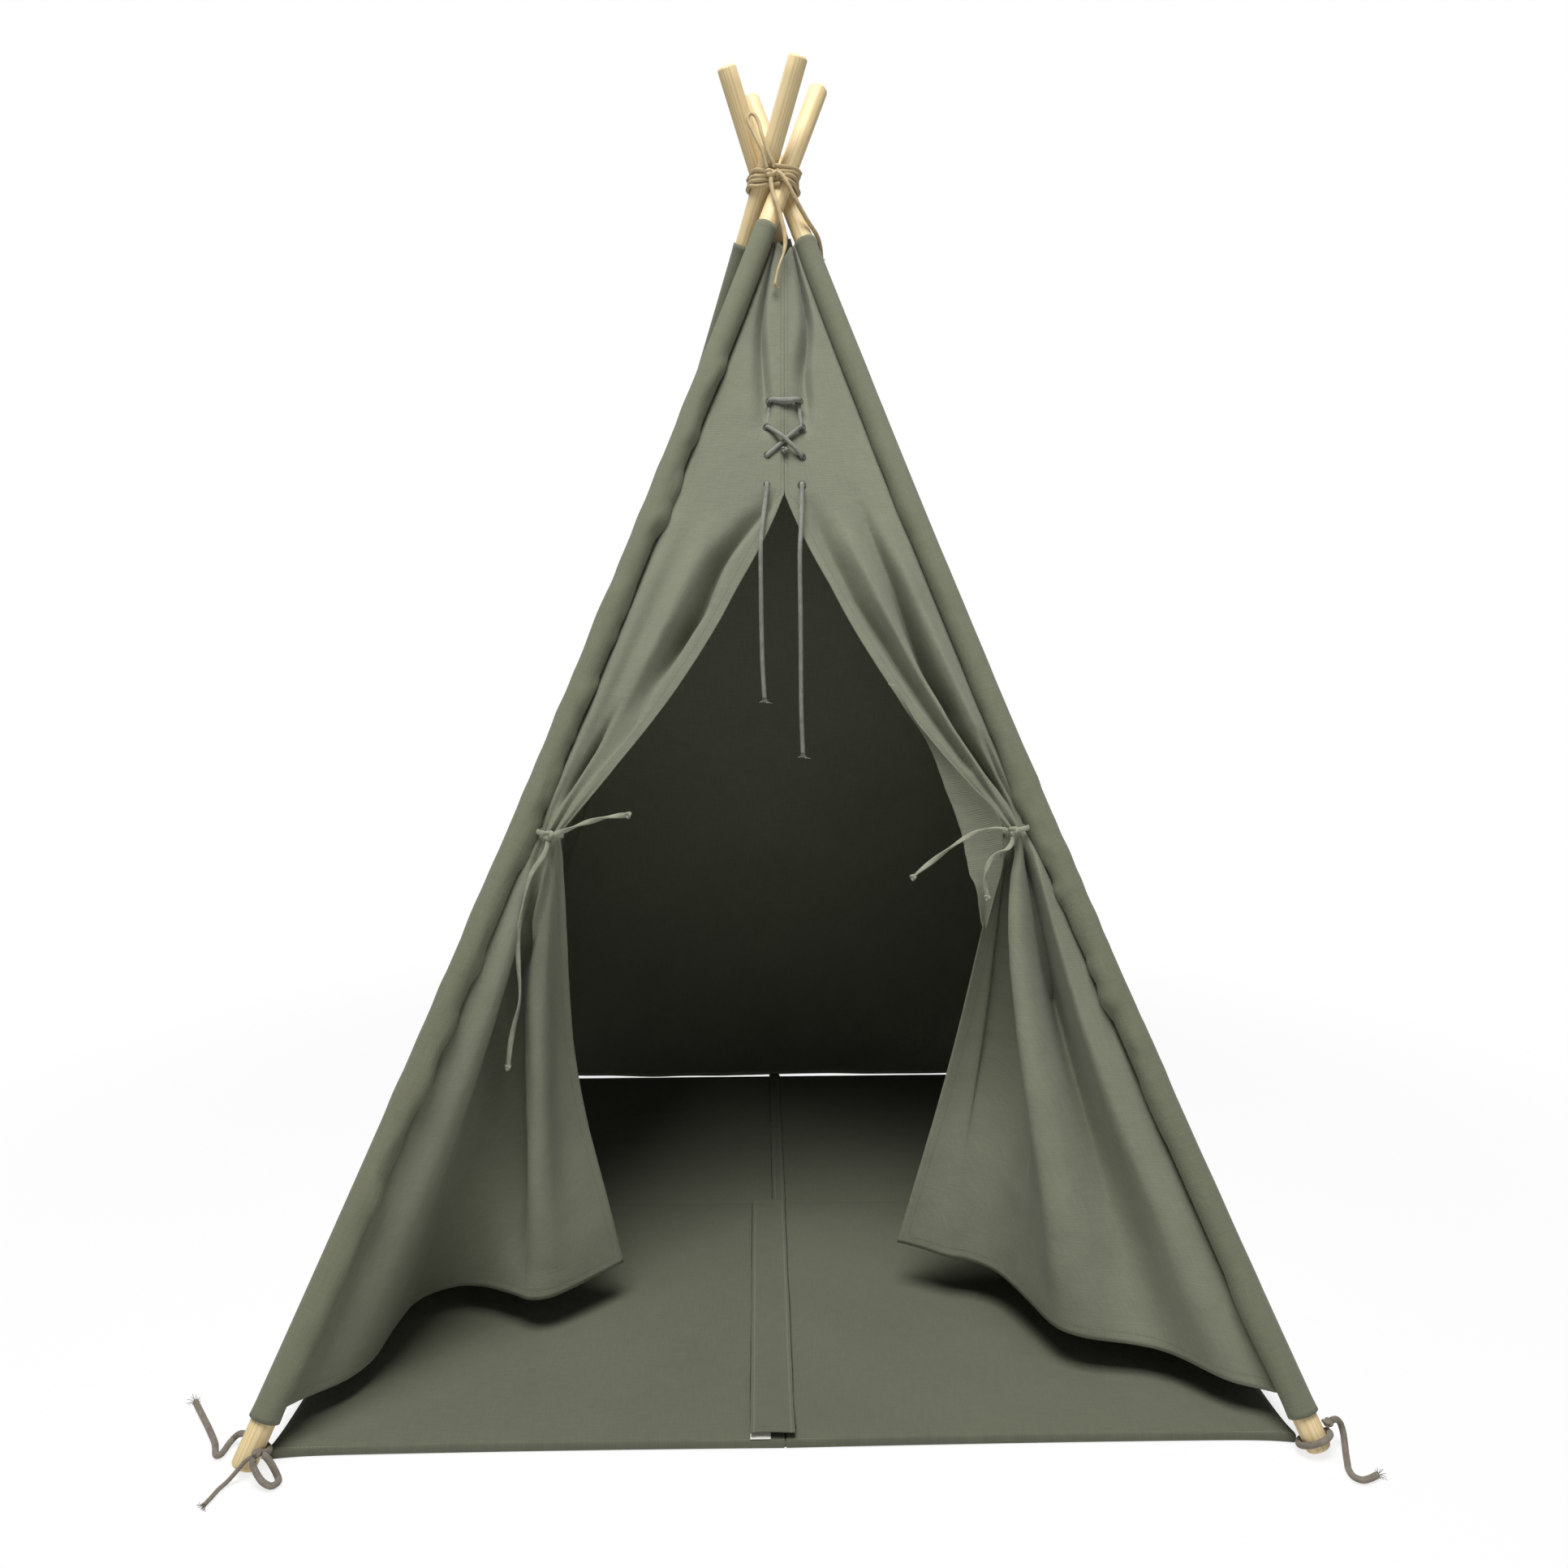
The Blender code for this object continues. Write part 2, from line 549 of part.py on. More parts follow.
def make_front_panels() -> None:
    """The two front panels from the sleeve's top down to the tie, with their eyelets."""
    top = CROSSING_HEIGHT - COVER_TOP_DROP
    normal = face_normal(*FRONT)
    turn = Vector((0, 0, 1)).rotation_difference(normal).to_matrix().to_4x4()
    for side, name in ((-1, "front_panel_left"), (1, "front_panel_right")):

        def place(across: float, up: float) -> Vector:
            rise = up ** PANEL_ROW_POWER
            low = TIE_HEIGHT + SEAM_GAP
            return front_point(side, across, low + (top - low) * rise)

        panel = sheet(name, PANEL_COLUMNS, PANEL_ROWS, place, "canvas")
        bm = bmesh.new()
        for rise in EYELET_RISES:
            bmesh.ops.create_cone(bm, cap_ends=True, segments=EYELET_SIDES,
                                  radius1=EYELET_DIAMETER / 2, radius2=EYELET_DIAMETER / 2,
                                  depth=EYELET_DIAMETER,
                                  matrix=Matrix.Translation(eyelet(side, rise)) @ turn)
        cutter = mesh_object(f"{name}_eyelet_cutter", bm, "canvas")
        cutter.hide_render = True
        cutter.display_type = "WIRE"
        holes = panel.modifiers.new("Eyelets", "BOOLEAN")
        holes.object = cutter
        holes.operation = "DIFFERENCE"


def lace_pass(side: int, rise: float, entering: Vector, leaving: Vector, out: bool) -> list[Vector]:
    """The lace's points as it goes through one eyelet, from the back when out is true."""
    normal = face_normal(*FRONT) * (1 if out else -1)
    centre = eyelet(side, rise)
    off = CLOTH / 2 + SEAM_GAP + LACE_DIAMETER / 2
    toward_in = (entering - centre).normalized()
    toward_out = (leaving - centre).normalized()
    return [
        centre - normal * off + toward_in * LACE_BEND,
        centre - normal * off * 0.75 + toward_in * LACE_BEND / 4,
        centre,
        centre + normal * off * 0.75 + toward_out * LACE_BEND / 4,
        centre + normal * off + toward_out * LACE_BEND,
    ]


def make_lacing() -> None:
    """One lace: a bar at the top, a cross below it, and both ends out at the lowest eyelets."""
    normal = face_normal(*FRONT)
    low, third, second, high = EYELET_RISES
    off = CLOTH / 2 + SEAM_GAP + LACE_DIAMETER / 2
    stops = [(-1, low), (-1, third), (1, second), (1, high), (-1, high), (-1, second),
             (1, third), (1, low)]
    spots = [eyelet(*stop) for stop in stops]
    route = []
    for number, stop in enumerate(stops):
        before = spots[number - 1] if number else spots[1]
        after = spots[number + 1] if number < len(stops) - 1 else spots[-2]
        route += lace_pass(*stop, before, after, out=number % 2 == 1)
        if number == 5:
            middle = spots[5].lerp(spots[6], 0.5)
            route.append(middle + normal * (off + LACE_DIAMETER + 3 * TOUCH_GAP))
    end = CLOTH / 2 + TOUCH_GAP
    route = [spots[0] + normal * end, *route[2:-2], spots[-1] + normal * end]
    tube("lacing", route, LACE_DIAMETER, "lace")
    bead = front_seam(BEAD_RISE) + normal * (CLOTH / 2 + SEAM_GAP + BEAD_DIAMETER / 2)
    lump("lace_bead", bead, (BEAD_DIAMETER,) * 3, "lace")
    cord("lace_tail_left", LACE_TAIL_LEFT, spots[0], LACE_DIAMETER, "lace")
    cord("lace_tail_right", LACE_TAIL_RIGHT, spots[-1], LACE_DIAMETER, "lace")


def hem_curve(side: int, corner: str) -> list[Vector]:
    """The hem of a skirt as fine points, from the sleeve to the free corner."""
    shares = LEFT_HEM_SHARES if side < 0 else RIGHT_HEM_SHARES
    last = LEFT_CORNER_HEIGHT if side < 0 else RIGHT_CORNER_HEIGHT
    points = [seam_of_skirt(side, corner, 1.0)]
    for number, (east, north) in enumerate(shares, 1):
        height = SLEEVE_HEM_HEIGHT + (last - SLEEVE_HEM_HEIGHT) * number / len(shares)
        points.append(Vector((east * HALF_BASE, north * HALF_BASE, height)))
    return smooth_route(points, CLOTH * 2)


def seam_of_skirt(side: int, corner: str, down: float) -> Vector:
    """Where a skirt meets its sleeve, turning inwards round the pole towards the floor."""
    height = TIE_HEIGHT - SEAM_GAP + (SLEEVE_HEM_HEIGHT - TIE_HEIGHT) * down
    if down == 0:
        return front_point(side, 0.0, height)
    turn = SKIRT_TURN * down
    level = Vector((-side * math.cos(turn), math.sin(turn), 0.0))
    tilt = level.dot(pole_direction(corner, share_at(corner, height)))
    relief = clamp(1 - abs(height - TIE_HEIGHT) / SEAM_RELIEF_HEIGHT)
    reach = sleeve_radius(corner, height) + SEAM_GAP + CLOTH / 4
    reach += (BAND_DIAMETER + 2 * BAND_EASE) * relief
    return pole_at(corner, height) + level * reach / math.sqrt(1 - tilt * tilt)


def make_skirts() -> None:
    """The loose cloth under each tie: folds fan out from the gather to the hem."""
    for side, corner, name in ((-1, "front_left", "door_skirt_left"),
                               (1, "front_right", "door_skirt_right")):
        hem = hem_curve(side, corner)
        top = TIE_HEIGHT - SEAM_GAP

        def place(across: float, up: float) -> Vector:
            down = 1 - up
            spot = across * (len(hem) - 1)
            number = min(int(spot), len(hem) - 2)
            low = hem[number].lerp(hem[number + 1], spot - number)
            point = front_point(side, across, top).lerp(low, down)
            straight = front_point(side, 0.0, top).lerp(hem[0], down)
            seam = seam_of_skirt(side, corner, down)
            return point + (seam - straight) * (1 - across) ** SKIRT_SEAM_POWER

        sheet(name, SKIRT_COLUMNS, SKIRT_ROWS, place, "canvas")


def make_tie_backs() -> None:
    """The tape round each gather, its knot, and the two ends of the tape."""
    tails = {"left": (TIE_TAIL_LEFT_UPPER, TIE_TAIL_LEFT_LOWER),
             "right": (TIE_TAIL_RIGHT_UPPER, TIE_TAIL_RIGHT_LOWER)}
    for side, name in ((-1, "left"), (1, "right")):
        start = front_point(side, 0.0, TIE_HEIGHT)
        end = front_point(side, 1.0, TIE_HEIGHT)
        centre = (start + end) / 2
        level = (end - start).normalized()
        front = Vector((0, 0, 1)).cross(level) * side
        half = (end - start).length / 2 + BAND_EASE + BAND_DIAMETER / 2
        ring = []
        for number in range(BAND_POINTS):
            angle = 2 * math.pi * number / BAND_POINTS
            ring.append(centre + level * half * math.cos(angle)
                        + front * BAND_DEPTH_HALF * math.sin(angle))
        tube(f"tie_band_{name}", ring, BAND_DIAMETER, "tape", closed=True)
        reach = BAND_DEPTH_HALF + BAND_DIAMETER / 2 + TOUCH_GAP + TAPE_KNOT_DEPTH / 2
        shift = Vector((TAPE_KNOT_SHIFTS[name], 0.0, 0.0))
        knot = centre + front * reach + shift
        lump(f"tie_knot_{name}", knot, (TAPE_KNOT_WIDTH, TAPE_KNOT_DEPTH, TAPE_KNOT_WIDTH), "tape")
        upper, lower = tails[name]
        cord(f"tie_tail_{name}_upper", upper, knot, TAPE_DIAMETER, "tape")
        cord(f"tie_tail_{name}_lower", lower, knot, TAPE_DIAMETER, "tape")


# The lashing


def winding_point(angle: float, height: float) -> Vector:
    """A point of the lashing cord's middle: outside all four poles, at one height."""
    normal = Vector((math.cos(angle), math.sin(angle), 0.0))
    best, found, slope = -math.inf, None, 1.0
    for corner in CORNERS:
        share = share_at(corner, height)
        centre, up = on_pole(corner, share), pole_direction(corner, share)
        flat = Vector((up.x, up.y, 0.0)).normalized()
        cross = Vector((-flat.y, flat.x, 0.0))
        long, short = POLE_DIAMETER / 2 / up.z, POLE_DIAMETER / 2
        along, beside = normal.dot(flat), normal.dot(cross)
        support = math.sqrt((long * along) ** 2 + (short * beside) ** 2)
        reach = Vector((centre.x, centre.y, 0.0)).dot(normal) + support
        if reach > best:
            best = reach
            rim = (flat * long * long * along + cross * short * short * beside) / support
            found, slope = centre + rim, up.z
    return found + normal * (LASHING_CORD / 2 + 2 * TOUCH_GAP) / slope


def least_self_gap(points: list[Vector], diameter: float) -> float:
    """The least distance between turns of a tube, surface to surface."""
    skip = LOOP_POINTS // 2
    return min((a - b).length for i, a in enumerate(points) for b in points[i + skip:]) - diameter


def make_lashing() -> None:
    """The cord wound round the crossing as one tube, with its knot, bight and two ends."""
    pitch = LASHING_CORD + LASHING_GAP
    count = LASHING_TURNS * LOOP_POINTS
    points = []
    for number in range(count + 1):
        angle = -math.pi / 2 + 2 * math.pi * number / LOOP_POINTS
        height = CROSSING_HEIGHT + pitch * (LASHING_TURNS / 2 - number / LOOP_POINTS)
        points.append(winding_point(angle, height))
    gap = least_self_gap(points, LASHING_CORD)
    print(f"lashing_winding: least gap to itself {gap * 1000:.2f} mm")
    tube("lashing_winding", points, LASHING_CORD, "lashing_cord", sides=6)
    behind = [point for point in points if abs(point.z - CROSSING_HEIGHT) < pitch]
    front = min(point.y for point in behind if abs(point.x - LASHING_KNOT_EAST) < POLE_DIAMETER)
    off = LASHING_CORD / 2 + LASHING_KNOT_DEPTH / 2 - LASHING_KNOT_SINK
    lump("lashing_knot", (LASHING_KNOT_EAST, front - off, CROSSING_HEIGHT),
         (LASHING_KNOT_WIDTH, LASHING_KNOT_DEPTH, LASHING_KNOT_HEIGHT), "lashing_cord")
    start = Vector((0.0, 0.0, CROSSING_HEIGHT))
    cord("lashing_bight", LASHING_BIGHT, start, BIGHT_CORD, "lashing_cord")
    cord("lashing_tail_front", LASHING_TAIL_FRONT, start, LASHING_CORD, "lashing_cord")
    cord("lashing_tail_side", LASHING_TAIL_SIDE, start, LASHING_CORD, "lashing_cord")


# The mat


def pad_top(east: float, north: float) -> float:
    """The height of a pad's top at a place, from its crown and its sewn edge."""
    inner = MAT_JOIN_GAP / 2
    gaps = (abs(east) - inner, MAT_HALF - abs(east), abs(north) - inner, MAT_HALF - abs(north))
    rise = 1.0
    for gap in gaps:
        rise *= math.sin(math.pi / 2 * clamp(gap / PAD_CROWN_REACH))
    return PAD_EDGE_HEIGHT + (PAD_THICKNESS - PAD_EDGE_HEIGHT) * rise


def make_pads() -> None:
    """Four quarter pads: crowned on top, sides drawn in between the corners, flat below."""
    size = MAT_HALF - MAT_JOIN_GAP / 2
    middle = (MAT_HALF + MAT_JOIN_GAP / 2) / 2
    for corner, (east, north) in CORNERS.items():
        bm = bmesh.new()
        bmesh.ops.create_grid(bm, x_segments=PAD_CELLS, y_segments=PAD_CELLS, size=0.5)
        for vert in bm.verts:
            vert.co = pad_place(vert.co, size, middle, (east, north))
        for inset, height in ((0.0, PAD_SIDE_HEIGHT), (2 * PAD_SIDE_BULGE, 0.0)):
            rim = [edge for edge in bm.edges if edge.is_boundary]
            grown = bmesh.ops.extrude_edge_only(bm, edges=rim)["geom"]
            lower = [item for item in grown if isinstance(item, bmesh.types.BMVert)]
            for vert in lower:
                grow = (PAD_SIDE_BULGE - inset) / (size / 2)
                vert.co.x += (vert.co.x - east * middle) * grow
                vert.co.y += (vert.co.y - north * middle) * grow
                vert.co.z = height
        bmesh.ops.contextual_create(bm, geom=[edge for edge in bm.edges if edge.is_boundary])
        mesh_object(f"mat_pad_{corner}", bm, "mat_cotton")


def pad_place(unit: Vector, size: float, middle: float, corner: tuple[int, int]) -> Vector:
    """Where a point of the unit square lies on a pad's top."""
    across = math.sin(math.pi * unit.x) * corner[0]
    along = math.sin(math.pi * unit.y) * corner[1]
    half = size / 2 - PAD_SIDE_BULGE
    pull = PAD_CORNER_PULL * clamp(across) ** 12 * clamp(along) ** 12
    draw_x = PAD_SIDE_DRAW * (1 - along ** 2) * clamp(across) ** 3
    draw_y = PAD_SIDE_DRAW * (1 - across ** 2) * clamp(along) ** 3
    east = corner[0] * (middle + across * half + pull - draw_x)
    north = corner[1] * (middle + along * half + pull - draw_y)
    return Vector((east, north, pad_top(east, north)))


def make_strips() -> None:
    """The two cover strips over the join, and the blank label at the front."""
    for name, side, (left, right) in (("mat_strip_front", -1, FRONT_STRIP),
                                      ("mat_strip_rear", 1, REAR_STRIP)):

        def place(across: float, along: float) -> Vector:
            east = left + (right - left) * across
            share = (1 - math.cos(math.pi * along)) / 2
            reach = MAT_JOIN_GAP + (MAT_HALF - MAT_JOIN_GAP) * share
            lift = 0.0
            if side < 0:
                lift = STRIP_END_LIFT * clamp(1 - (MAT_HALF - reach) / STRIP_LIFT_REACH) ** 2
            middle = pad_top(east, side * reach) + STRIP_SEAT + STRIP_THICKNESS / 2
            return Vector((east, side * reach, middle + lift))

        sheet(name, STRIP_COLUMNS, STRIP_ROWS, place, "mat_cotton", STRIP_THICKNESS)


def make_label() -> None:
    """A small blank label on the mat's front edge, under the strip."""
    front = -MAT_HALF - TOUCH_GAP - LABEL_THICKNESS / 2
    bm = bmesh.new()
    bmesh.ops.create_cube(bm, size=1.0)
    bmesh.ops.scale(bm, vec=(LABEL_WIDTH, LABEL_THICKNESS, LABEL_HEIGHT), verts=bm.verts)
    place = (FRONT_STRIP[0] + LABEL_WIDTH / 2, front, PAD_SIDE_HEIGHT)
    bmesh.ops.translate(bm, vec=place, verts=bm.verts)
    mesh_object("care_label", bm, "label_white")


# The foot ties


def make_foot_ties() -> None:
    """The cord tied round each front foot, its knots and its free ends."""
    share = share_at("front_right", FOOT_RING_RISE)
    centre, up = on_pole("front_right", share), pole_direction("front_right", share)
    across = up.cross(outward("front_right")).normalized()
    facing = across.cross(up)
    radius = POLE_DIAMETER / 2 + SEAM_GAP + FOOT_CORD / 2
    ring = []
    for number in range(FOOT_RING_POINTS):
        angle = 2 * math.pi * number / FOOT_RING_POINTS
        ring.append(centre + (facing * math.cos(angle) + across * math.sin(angle)) * radius)
    tube("foot_ring_right", ring, FOOT_CORD, "foot_cord", closed=True)
    left = Vector((-HALF_BASE, -HALF_BASE, 0.0))
    right = Vector((HALF_BASE, -HALF_BASE, 0.0))
    lump("foot_knot_left", left + Vector(FOOT_KNOT_LEFT), (FOOT_KNOT,) * 3, "foot_cord")
    lump("foot_knot_right", right + Vector(FOOT_KNOT_RIGHT), (FOOT_KNOT,) * 3, "foot_cord")
    cord("foot_tie_left", FOOT_TIE_LEFT, left, FOOT_CORD, "foot_cord")
    cord("foot_tail_left", FOOT_TAIL_LEFT, left, FOOT_THIN_CORD, "foot_cord")
    cord("foot_loop_left", FOOT_LOOP_LEFT, left, FOOT_CORD, "foot_cord")
    cord("foot_tail_right", FOOT_TAIL_RIGHT, right, FOOT_CORD, "foot_cord")


def main() -> None:
    """Clear the scene and build the teepee."""
    for item in list(bpy.data.objects):
        bpy.data.objects.remove(item)
    make_poles()
    make_sleeves()
    make_walls()
    make_front_panels()
    make_lacing()
    make_skirts()
    make_tie_backs()
    make_lashing()
    make_pads()
    make_strips()
    make_label()
    make_foot_ties()


main()
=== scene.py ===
"""Looks for the kids teepee: lashed dowels, a canvas cover with tied-back door, and a quilted mat.

Everything is in metres in the CAD's frame: +Z up, the origin on the floor, the door towards -Y.
"""
import logging
from dataclasses import dataclass, field, replace
from enum import Enum
from math import atan2, cos, exp, inf, pi, radians, sin, sqrt
from typing import Callable, Sequence

import bmesh
import bpy
from mathutils import Matrix, Quaternion, Vector, noise


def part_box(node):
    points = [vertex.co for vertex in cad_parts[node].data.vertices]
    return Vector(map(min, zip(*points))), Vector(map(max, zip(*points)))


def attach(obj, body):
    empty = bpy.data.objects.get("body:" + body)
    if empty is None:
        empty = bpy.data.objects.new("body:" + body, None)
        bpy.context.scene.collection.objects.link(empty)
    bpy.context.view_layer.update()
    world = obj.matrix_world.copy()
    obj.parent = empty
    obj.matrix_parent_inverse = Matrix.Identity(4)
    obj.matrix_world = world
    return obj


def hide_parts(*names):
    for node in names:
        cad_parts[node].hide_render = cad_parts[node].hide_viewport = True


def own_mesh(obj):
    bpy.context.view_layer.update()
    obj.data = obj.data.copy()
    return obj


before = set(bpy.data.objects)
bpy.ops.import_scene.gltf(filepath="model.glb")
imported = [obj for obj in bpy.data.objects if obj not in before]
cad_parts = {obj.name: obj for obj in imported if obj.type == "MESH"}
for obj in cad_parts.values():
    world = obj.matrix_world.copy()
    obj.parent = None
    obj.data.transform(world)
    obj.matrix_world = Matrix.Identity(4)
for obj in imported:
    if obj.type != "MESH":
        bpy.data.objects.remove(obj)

LOG = logging.getLogger("teepee")
Shape = bmesh.types.BMesh
Piece = bpy.types.Object
Material = bpy.types.Material
Tree = bpy.types.NodeTree
Socket = bpy.types.NodeSocket
Spot = tuple[float, float, float]
Place = Callable[[float, float], Vector]
Flat = Callable[[float, float], Spot]
Rows = Sequence[tuple[float, float]]
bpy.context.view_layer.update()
# A band texture's scale for stripes one metre apart
BANDS = 0.314
# The length along the leaning cloth for each metre of height
SLOPE = 1.07
# The CAD's gap between pieces that are sewn or laid against each other
SEAM_GAP = 0.0007


def metres(*points: Sequence[int]) -> list[Spot]:
    """Points given in tenths of a millimetre, in metres."""
    return [tuple(part / 10000 for part in point) for point in points]


# The free cords' routes, as in the CAD: offsets from the crossing, from the lowest eyelets, from
# the tie-backs' knots and from the floor under the ends of the front poles
LASHING_TAIL_FRONT = metres(
    (-40, -388, -68), (-40, -398, -120), (-18, -425, -250), (30, -462, -390), (66, -480, -520),
    (104, -492, -660), (132, -505, -792), (136, -530, -920), (118, -560, -1040), (76, -595, -1160),
    (36, -625, -1285), (4, -655, -1445))
LASHING_TAIL_SIDE = metres(
    (49, -382, 0), (78, -388, -8), (125, -398, -65), (205, -390, -190), (315, -330, -370),
    (445, -235, -550), (560, -125, -680), (610, -30, -790), (630, 50, -910))
LASHING_BIGHT = metres(
    (-87, -382, 59), (-102, -388, 92), (-118, -396, 160), (-165, -400, 290), (-238, -378, 440),
    (-305, -350, 580), (-335, -336, 670), (-302, -330, 735), (-240, -335, 715), (-195, -365, 620),
    (-160, -405, 480), (-115, -418, 340), (-65, -416, 210), (-3, -390, 96), (-11, -382, 66))
LACE_TAIL_LEFT = metres(
    (0, -15, 6), (0, -30, 11), (0, -55, 10), (-1, -72, -8), (-2, -89, -52), (-12, -117, -150),
    (-37, -190, -330), (-62, -280, -550), (-80, -350, -750), (-82, -375, -970), (-80, -375, -1310),
    (-78, -375, -1615), (-72, -375, -1960), (-64, -375, -2260), (-44, -375, -2600))
LACE_TAIL_RIGHT = metres(
    (0, -15, 6), (0, -30, 11), (0, -55, 10), (0, -72, -8), (0, -89, -52), (-4, -119, -150),
    (-11, -198, -330), (-21, -293, -550), (-35, -368, -750), (-39, -393, -970), (-35, -393, -1310),
    (-31, -393, -1615), (-28, -393, -2010), (-26, -393, -2410), (-21, -393, -2810),
    (-4, -393, -3280))
TIE_TAIL_LEFT_UPPER = metres(
    (66, -8, 15), (130, -31, 38), (195, -51, 60), (270, -71, 90), (377, -96, 138), (524, -126, 182),
    (661, -146, 218), (798, -161, 239), (916, -171, 249))
TIE_TAIL_LEFT_LOWER = metres(
    (-8, -11, -71), (-16, -46, -140), (-60, -96, -240), (-141, -131, -350), (-211, -146, -500),
    (-285, -146, -800), (-345, -146, -1129), (-350, -146, -1440), (-340, -146, -1690),
    (-353, -146, -1901), (-423, -146, -2167), (-466, -146, -2376), (-501, -146, -2635))
TIE_TAIL_RIGHT_UPPER = metres(
    (-71, -8, 15), (-142, -28, 35), (-227, -53, 42), (-312, -78, 30), (-450, -108, 0),
    (-591, -133, -65), (-740, -153, -160), (-926, -173, -295), (-1093, -188, -420),
    (-1168, -198, -490))
TIE_TAIL_RIGHT_LOWER = metres(
    (-7, -13, -71), (-27, -53, -135), (-87, -98, -190), (-167, -128, -215), (-247, -143, -265),
    (-312, -148, -360), (-346, -148, -487), (-340, -148, -610), (-319, -148, -740))
FOOT_TIE_LEFT = metres(
    (208, -90, 269), (216, -52, 246), (235, 25, 200), (228, 108, 170), (180, 182, 152),
    (107, 227, 168), (24, 233, 202), (-70, 290, 205), (-170, 370, 160), (-250, 425, 90),
    (-295, 380, 48), (-300, 290, 44), (-312, 215, 44), (-360, 220, 44), (-445, 390, 44),
    (-600, 610, 44), (-787, 855, 44), (-959, 1080, 44))
FOOT_TAIL_LEFT = metres(
    (168, -132, 266), (86, -115, 205), (11, -145, 125), (-60, -195, 55), (-113, -283, 34),
    (-133, -394, 34), (-155, -490, 34))
FOOT_LOOP_LEFT = metres(
    (261, -130, 276), (292, -127, 260), (345, -125, 170), (405, -140, 50), (430, -200, 44),
    (395, -260, 46), (330, -265, 75), (265, -245, 130), (196, -208, 237), (202, -177, 264))
FOOT_TAIL_RIGHT = metres(
    (156, 101, 295), (190, 113, 299), (230, 125, 285), (270, 135, 235), (290, 110, 150),
    (280, 50, 75), (240, -60, 44), (190, -190, 44), (155, -290, 44), (155, -390, 44),
    (215, -440, 44), (300, -420, 44), (396, -374, 44))

# Both edges of the right panel's turned hem, from above
TURNED_HEM_FRONT = metres(
    (1259, -2437, 7702), (1414, -2510, 7504), (1696, -2636, 7169), (1944, -2749, 6864),
    (2252, -2877, 6521), (2525, -2960, 6211), (2600, -2940, 5700), (2500, -2900, 5200),
    (2420, -2880, 4850))
TURNED_HEM_BACK = metres(
    (1250, -2405, 7701), (1457, -2460, 7426), (1645, -2510, 7180), (1789, -2565, 6916),
    (1925, -2640, 6534), (2050, -2700, 6213), (2160, -2790, 5746), (2212, -2850, 5497),
    (2284, -2890, 5346), (2340, -2890, 5050), (2380, -2880, 4850))


class Corner(Enum):
    """The four corners, as signs east and north of the middle."""

    FRONT_LEFT = (-1, -1)
    FRONT_RIGHT = (1, -1)
    REAR_LEFT = (-1, 1)
    REAR_RIGHT = (1, 1)

    @property
    def label(self) -> str:
        """The corner's part in the CAD's names."""
        return self.name.lower()

    @property
    def outward(self) -> Vector:
        """The level direction from the middle to the corner."""
        return Vector((*self.value, 0.0)).normalized()


class Side(Enum):
    """The two halves of the front."""

    LEFT = -1
    RIGHT = 1

    @property
    def label(self) -> str:
        """The side's part in the CAD's names."""
        return self.name.lower()

    @property
    def corner(self) -> Corner:
        """The front pole that this half hangs on."""
        return Corner.FRONT_LEFT if self is Side.LEFT else Corner.FRONT_RIGHT


# Small helpers


def clamp(value: float) -> float:
    """Keep a share between 0 and 1."""
    return min(1.0, max(0.0, value))


def ease(value: float) -> float:
    """A smooth step from 0 to 1."""
    value = clamp(value)
    return value * value * (3 - 2 * value)


def table(rows: Rows, at: float) -> float:
    """Read a smooth curve through rows of (place, value) in rising order.

    Args:
        rows: The places and their values.
        at: Where to read.

    Returns:
        The value there, held level beyond both ends.
    """
    if at <= rows[0][0]:
        return rows[0][1]
    for number in range(len(rows) - 1):
        (low, first), (high, last) = rows[number], rows[number + 1]
        if at <= high:
            before = rows[max(number - 1, 0)]
            after = rows[min(number + 2, len(rows) - 1)]
            step = high - low
            start = (last - before[1]) / (high - before[0]) * step
            end = (after[1] - first) / (after[0] - low) * step
            t = (at - low) / step
            return ((2 * t ** 3 - 3 * t ** 2 + 1) * first + (t ** 3 - 2 * t ** 2 + t) * start
                    + (3 * t ** 2 - 2 * t ** 3) * last + (t ** 3 - t ** 2) * end)
    return rows[-1][1]


def ripple(place: Vector, size: float, seed: float) -> float:
    """Smooth noise from -1 to 1 whose bumps are about size metres apart."""
    return noise.noise(place / size + Vector((seed, 0.37 * seed, -seed)))


@dataclass(frozen=True)
class Bumps:
    """A cloth's soft unevenness: how high its bumps are, and how far apart."""

    height: float
    size: float

    def at(self, place: Vector, seed: float) -> float:
        """The height at a place."""
        return self.height * ripple(place, self.size, seed)


def smooth_route(points: Sequence[Sequence[float]], spacing: float) -> list[Vector]:
    """Even points on a smooth curve through a route's own points.

    Args:
        points: The route's points, in metres.
        spacing: The distance wanted between the new points.

    Returns:
        Points from the first to the last of the route, evenly spaced.
    """
    knots = [Vector(point) for point in points]
    ends = [2 * knots[0] - knots[1], *knots, 2 * knots[-1] - knots[-2]]
    fine: list[Vector] = []
    for before, first, last, after in zip(ends, ends[1:], ends[2:], ends[3:]):
        for part in range(16):
            t = part / 16
            fine.append(0.5 * (2 * first + (last - before) * t
                               + (2 * before - 5 * first + 4 * last - after) * t ** 2
                               + (3 * first - before - 3 * last + after) * t ** 3))
    fine.append(knots[-1])
    return even_points(fine, spacing)


def round_turn(steps: int) -> list[float]:
    """The angles of a closed ring's points, with the last one on the first."""
    return [2 * pi * step / steps for step in range(steps + 1)]


